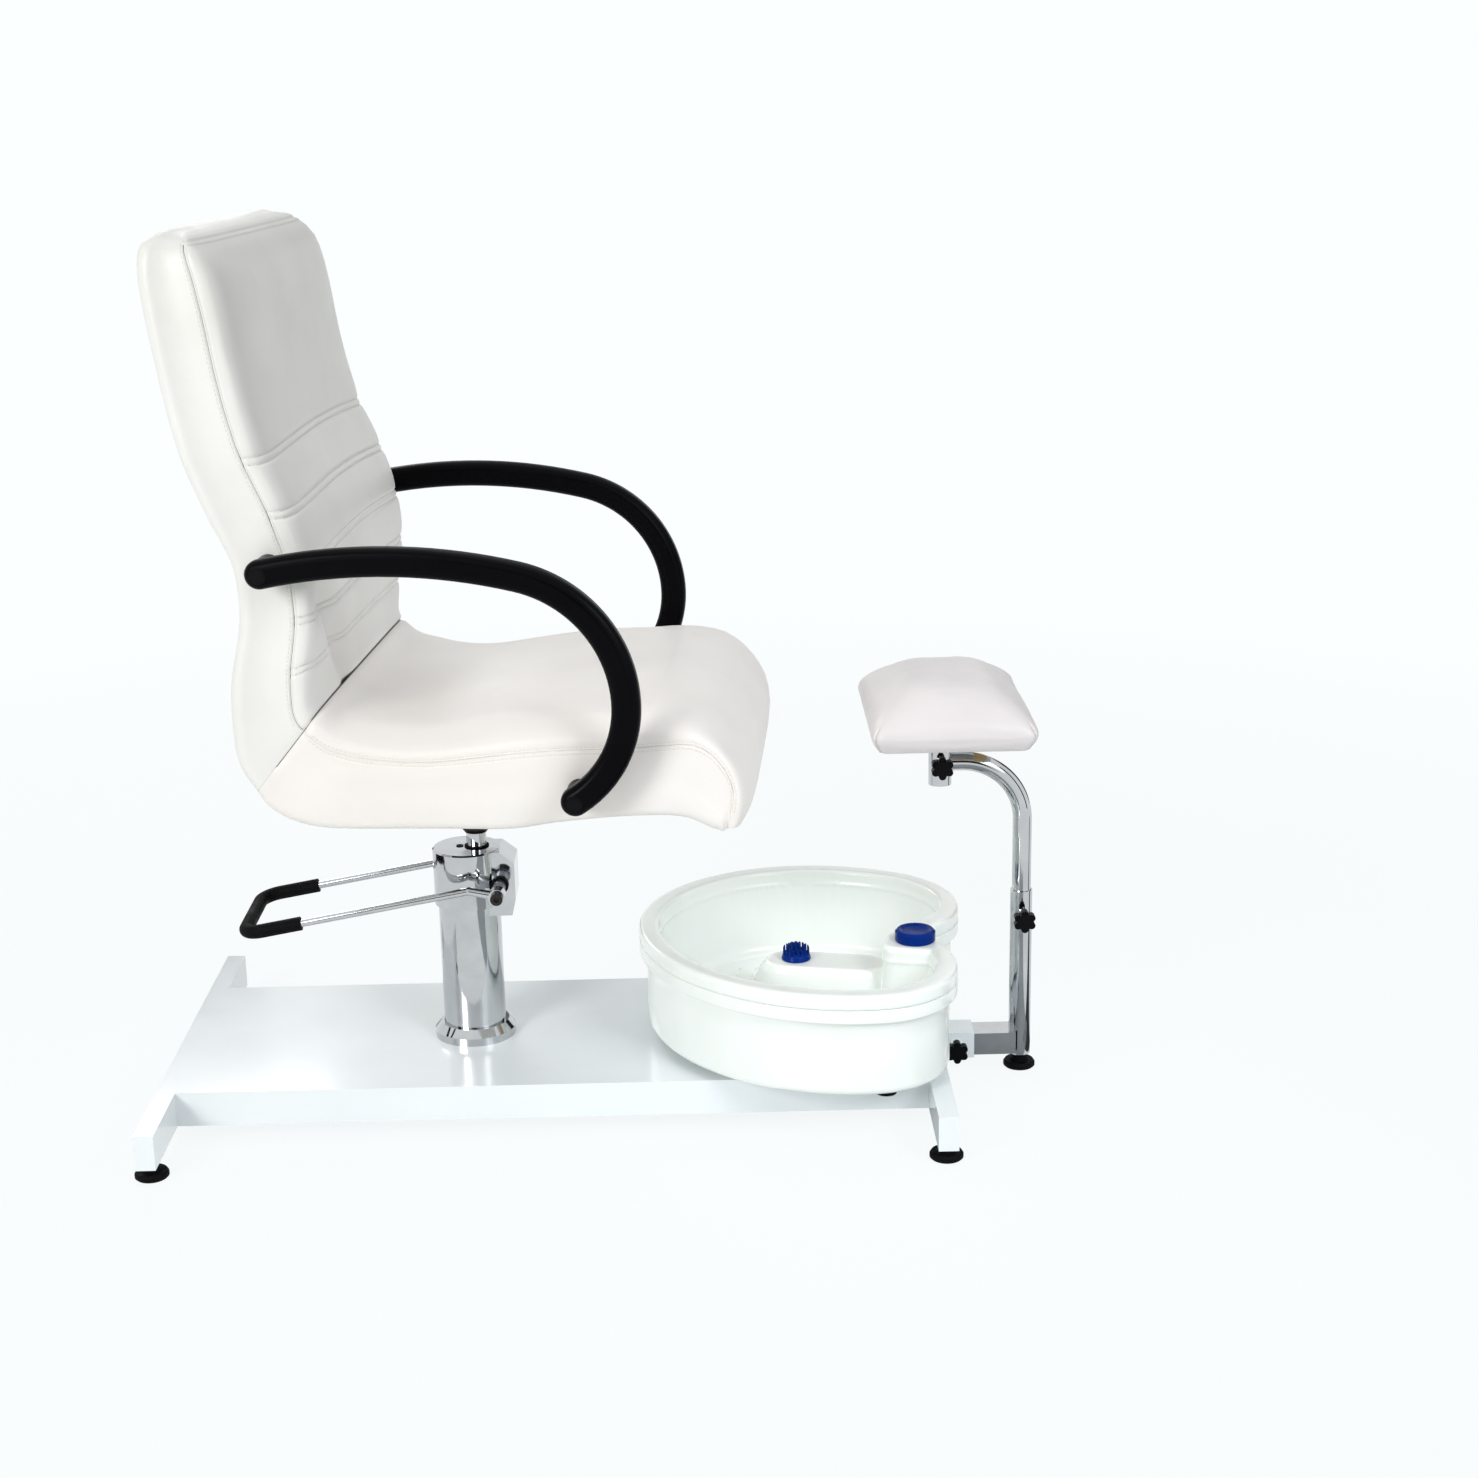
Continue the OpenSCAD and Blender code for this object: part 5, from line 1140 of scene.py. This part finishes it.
def floor_finish():
    material = new_finish("studio_floor_white")
    tree = material.node_tree
    tree.nodes.clear()
    place = add_node(tree, "TexCoord", {}).outputs["Object"]
    away = add_node(tree, "VectorMath", {"operation": "LENGTH", 0: place}).outputs["Value"]
    white = spread(tree, away, 0.9, 1.0, 0.9, 3.0)
    share = add_node(tree, "Math", {"operation": "MULTIPLY", 0: backdrop_rays(tree), 1: white}).outputs[0]
    paint = add_node(tree, "BsdfDiffuse", {"Color": linear("#F1F4F4")})
    glow = add_node(tree, "Emission", {"Color": linear("#FCFFFF"), "Strength": 1.0})
    both = add_node(tree, "MixShader", {0: share, 1: paint.outputs[0], 2: glow.outputs[0]})
    add_node(tree, "OutputMaterial", {"Surface": both.outputs[0]})
    return material


def card(name, centre, width, height, hex_colour):
    """A rectangle that shows only in reflections. One on the floor faces up, the others the chair."""
    centre = Vector(centre)
    lies = centre.z < 0.1
    out = Vector((0, 0, 1)) if lies else (Vector((0, 0, 0.5)) - centre).normalized()
    side = out.cross(Vector((0, 1, 0)) if lies else Vector((0, 0, 1))).normalized() * width / 2
    up = side.cross(out).normalized() * height / 2
    made = mesh_object(name, [centre - side - up, centre + side - up, centre + side + up, centre - side + up],
                       [(0, 1, 2, 3)])
    made.data.materials.append(new_finish(name, base_color=linear(hex_colour), roughness=0.9))
    made.visible_camera = made.visible_diffuse = made.visible_shadow = made.visible_transmission = False


FLOOR_HALF = 14.0
floor_corners = [(x * FLOOR_HALF, y * FLOOR_HALF, 0) for x, y in ((-1, -1), (1, -1), (1, 1), (-1, 1))]
floor = mesh_object("studio_floor", floor_corners, [(0, 1, 2, 3)])
floor.data.materials.append(floor_finish())
CARDS = (
    ("dark_card_left", (-2.3, -1.35, 1.0), 0.6, 2.6, "#0C0D0E"),
    ("dark_card_front", (0.2, -5.2, 0.9), 3.6, 2.6, "#2A2C2E"),
    ("dark_card_right", (2.6, -1.0, 0.9), 0.5, 2.4, "#0C0D0E"),
    ("dark_card_rear", (-1.6, 3.4, 1.0), 0.9, 2.6, "#161718"),
    ("dark_card_rear_right", (2.5, 2.1, 1.0), 1.6, 2.6, "#161718"),
    ("grey_card_high", (0.1, 3.6, 2.0), 1.4, 0.9, "#4A4D50"),
    ("grey_card_low", (0.45, -0.42, 0.006), 0.5, 0.76, "#A3A8AA"),
    ("dark_strip_low", (1.25, -0.02, 0.006), 1.3, 0.16, "#242628"))
for settings in CARDS:
    card(*settings)
print("stage: a floor and", len(CARDS), "cards")

# %% [markdown]
# The light is soft and plain. One large soft box stands on the camera's left, one hangs above, and
# two weak ones with honeycomb grids, on the right and behind, lift the bath and the plate. A pale
# room fills the shadows. The world is white to the camera, and dimmer for light on the object, so
# that white leatherette keeps its shape.

# %% Lamps and world
def softbox(name, at, aimed_at, size, watts, hex_colour, grid):
    """A square area lamp. A honeycomb grid narrows its light to a cone of so many degrees."""
    data = bpy.data.lights.new(name, "AREA")
    data.spread = math.radians(grid)
    data.shape, data.size, data.size_y = "RECTANGLE", size, size
    data.energy, data.color = watts, linear(hex_colour)[:3]
    lamp = bpy.data.objects.new(name, data)
    lamp.location = at
    lamp.rotation_euler = (Vector(aimed_at) - Vector(at)).to_track_quat("-Z", "Y").to_euler()
    bpy.context.collection.objects.link(lamp)


NO_GRID = 180
softbox("softbox_left", (-2.1, -3.0, 1.9), (0, 0, 0.5), 1.2, 66, "#FFFEFC", NO_GRID)
softbox("softbox_right", (1.4, -1.6, 1.5), (0.25, 0, 0.15), 0.9, 2.5, "#F8FBFF", 56)
softbox("softbox_rear", (-1.2, 2.4, 1.7), (-0.3, 0, 0.05), 0.9, 1.7, "#FFFFFF", 60)
softbox("softbox_top", (0.2, 0.4, 3.2), (0, 0, 0.4), 2.4, 16, "#FFFFFF", NO_GRID)

world = bpy.data.worlds.new("studio_room")
world.use_nodes = True
bpy.context.scene.world = world
room = world.node_tree
room.nodes.clear()
shown = add_node(room, "Background", {"Color": linear("#FCFFFF"), "Strength": 1.0})
filling = add_node(room, "Background", {"Color": linear("#F7F9FA"), "Strength": 0.44})
by_ray = add_node(room, "MixShader", {0: backdrop_rays(room), 1: filling.outputs[0], 2: shown.outputs[0]})
add_node(room, "OutputWorld", {"Surface": by_ray.outputs[0]})
bpy.context.scene.view_settings.view_transform = "Standard"
print("four lamps and a room")
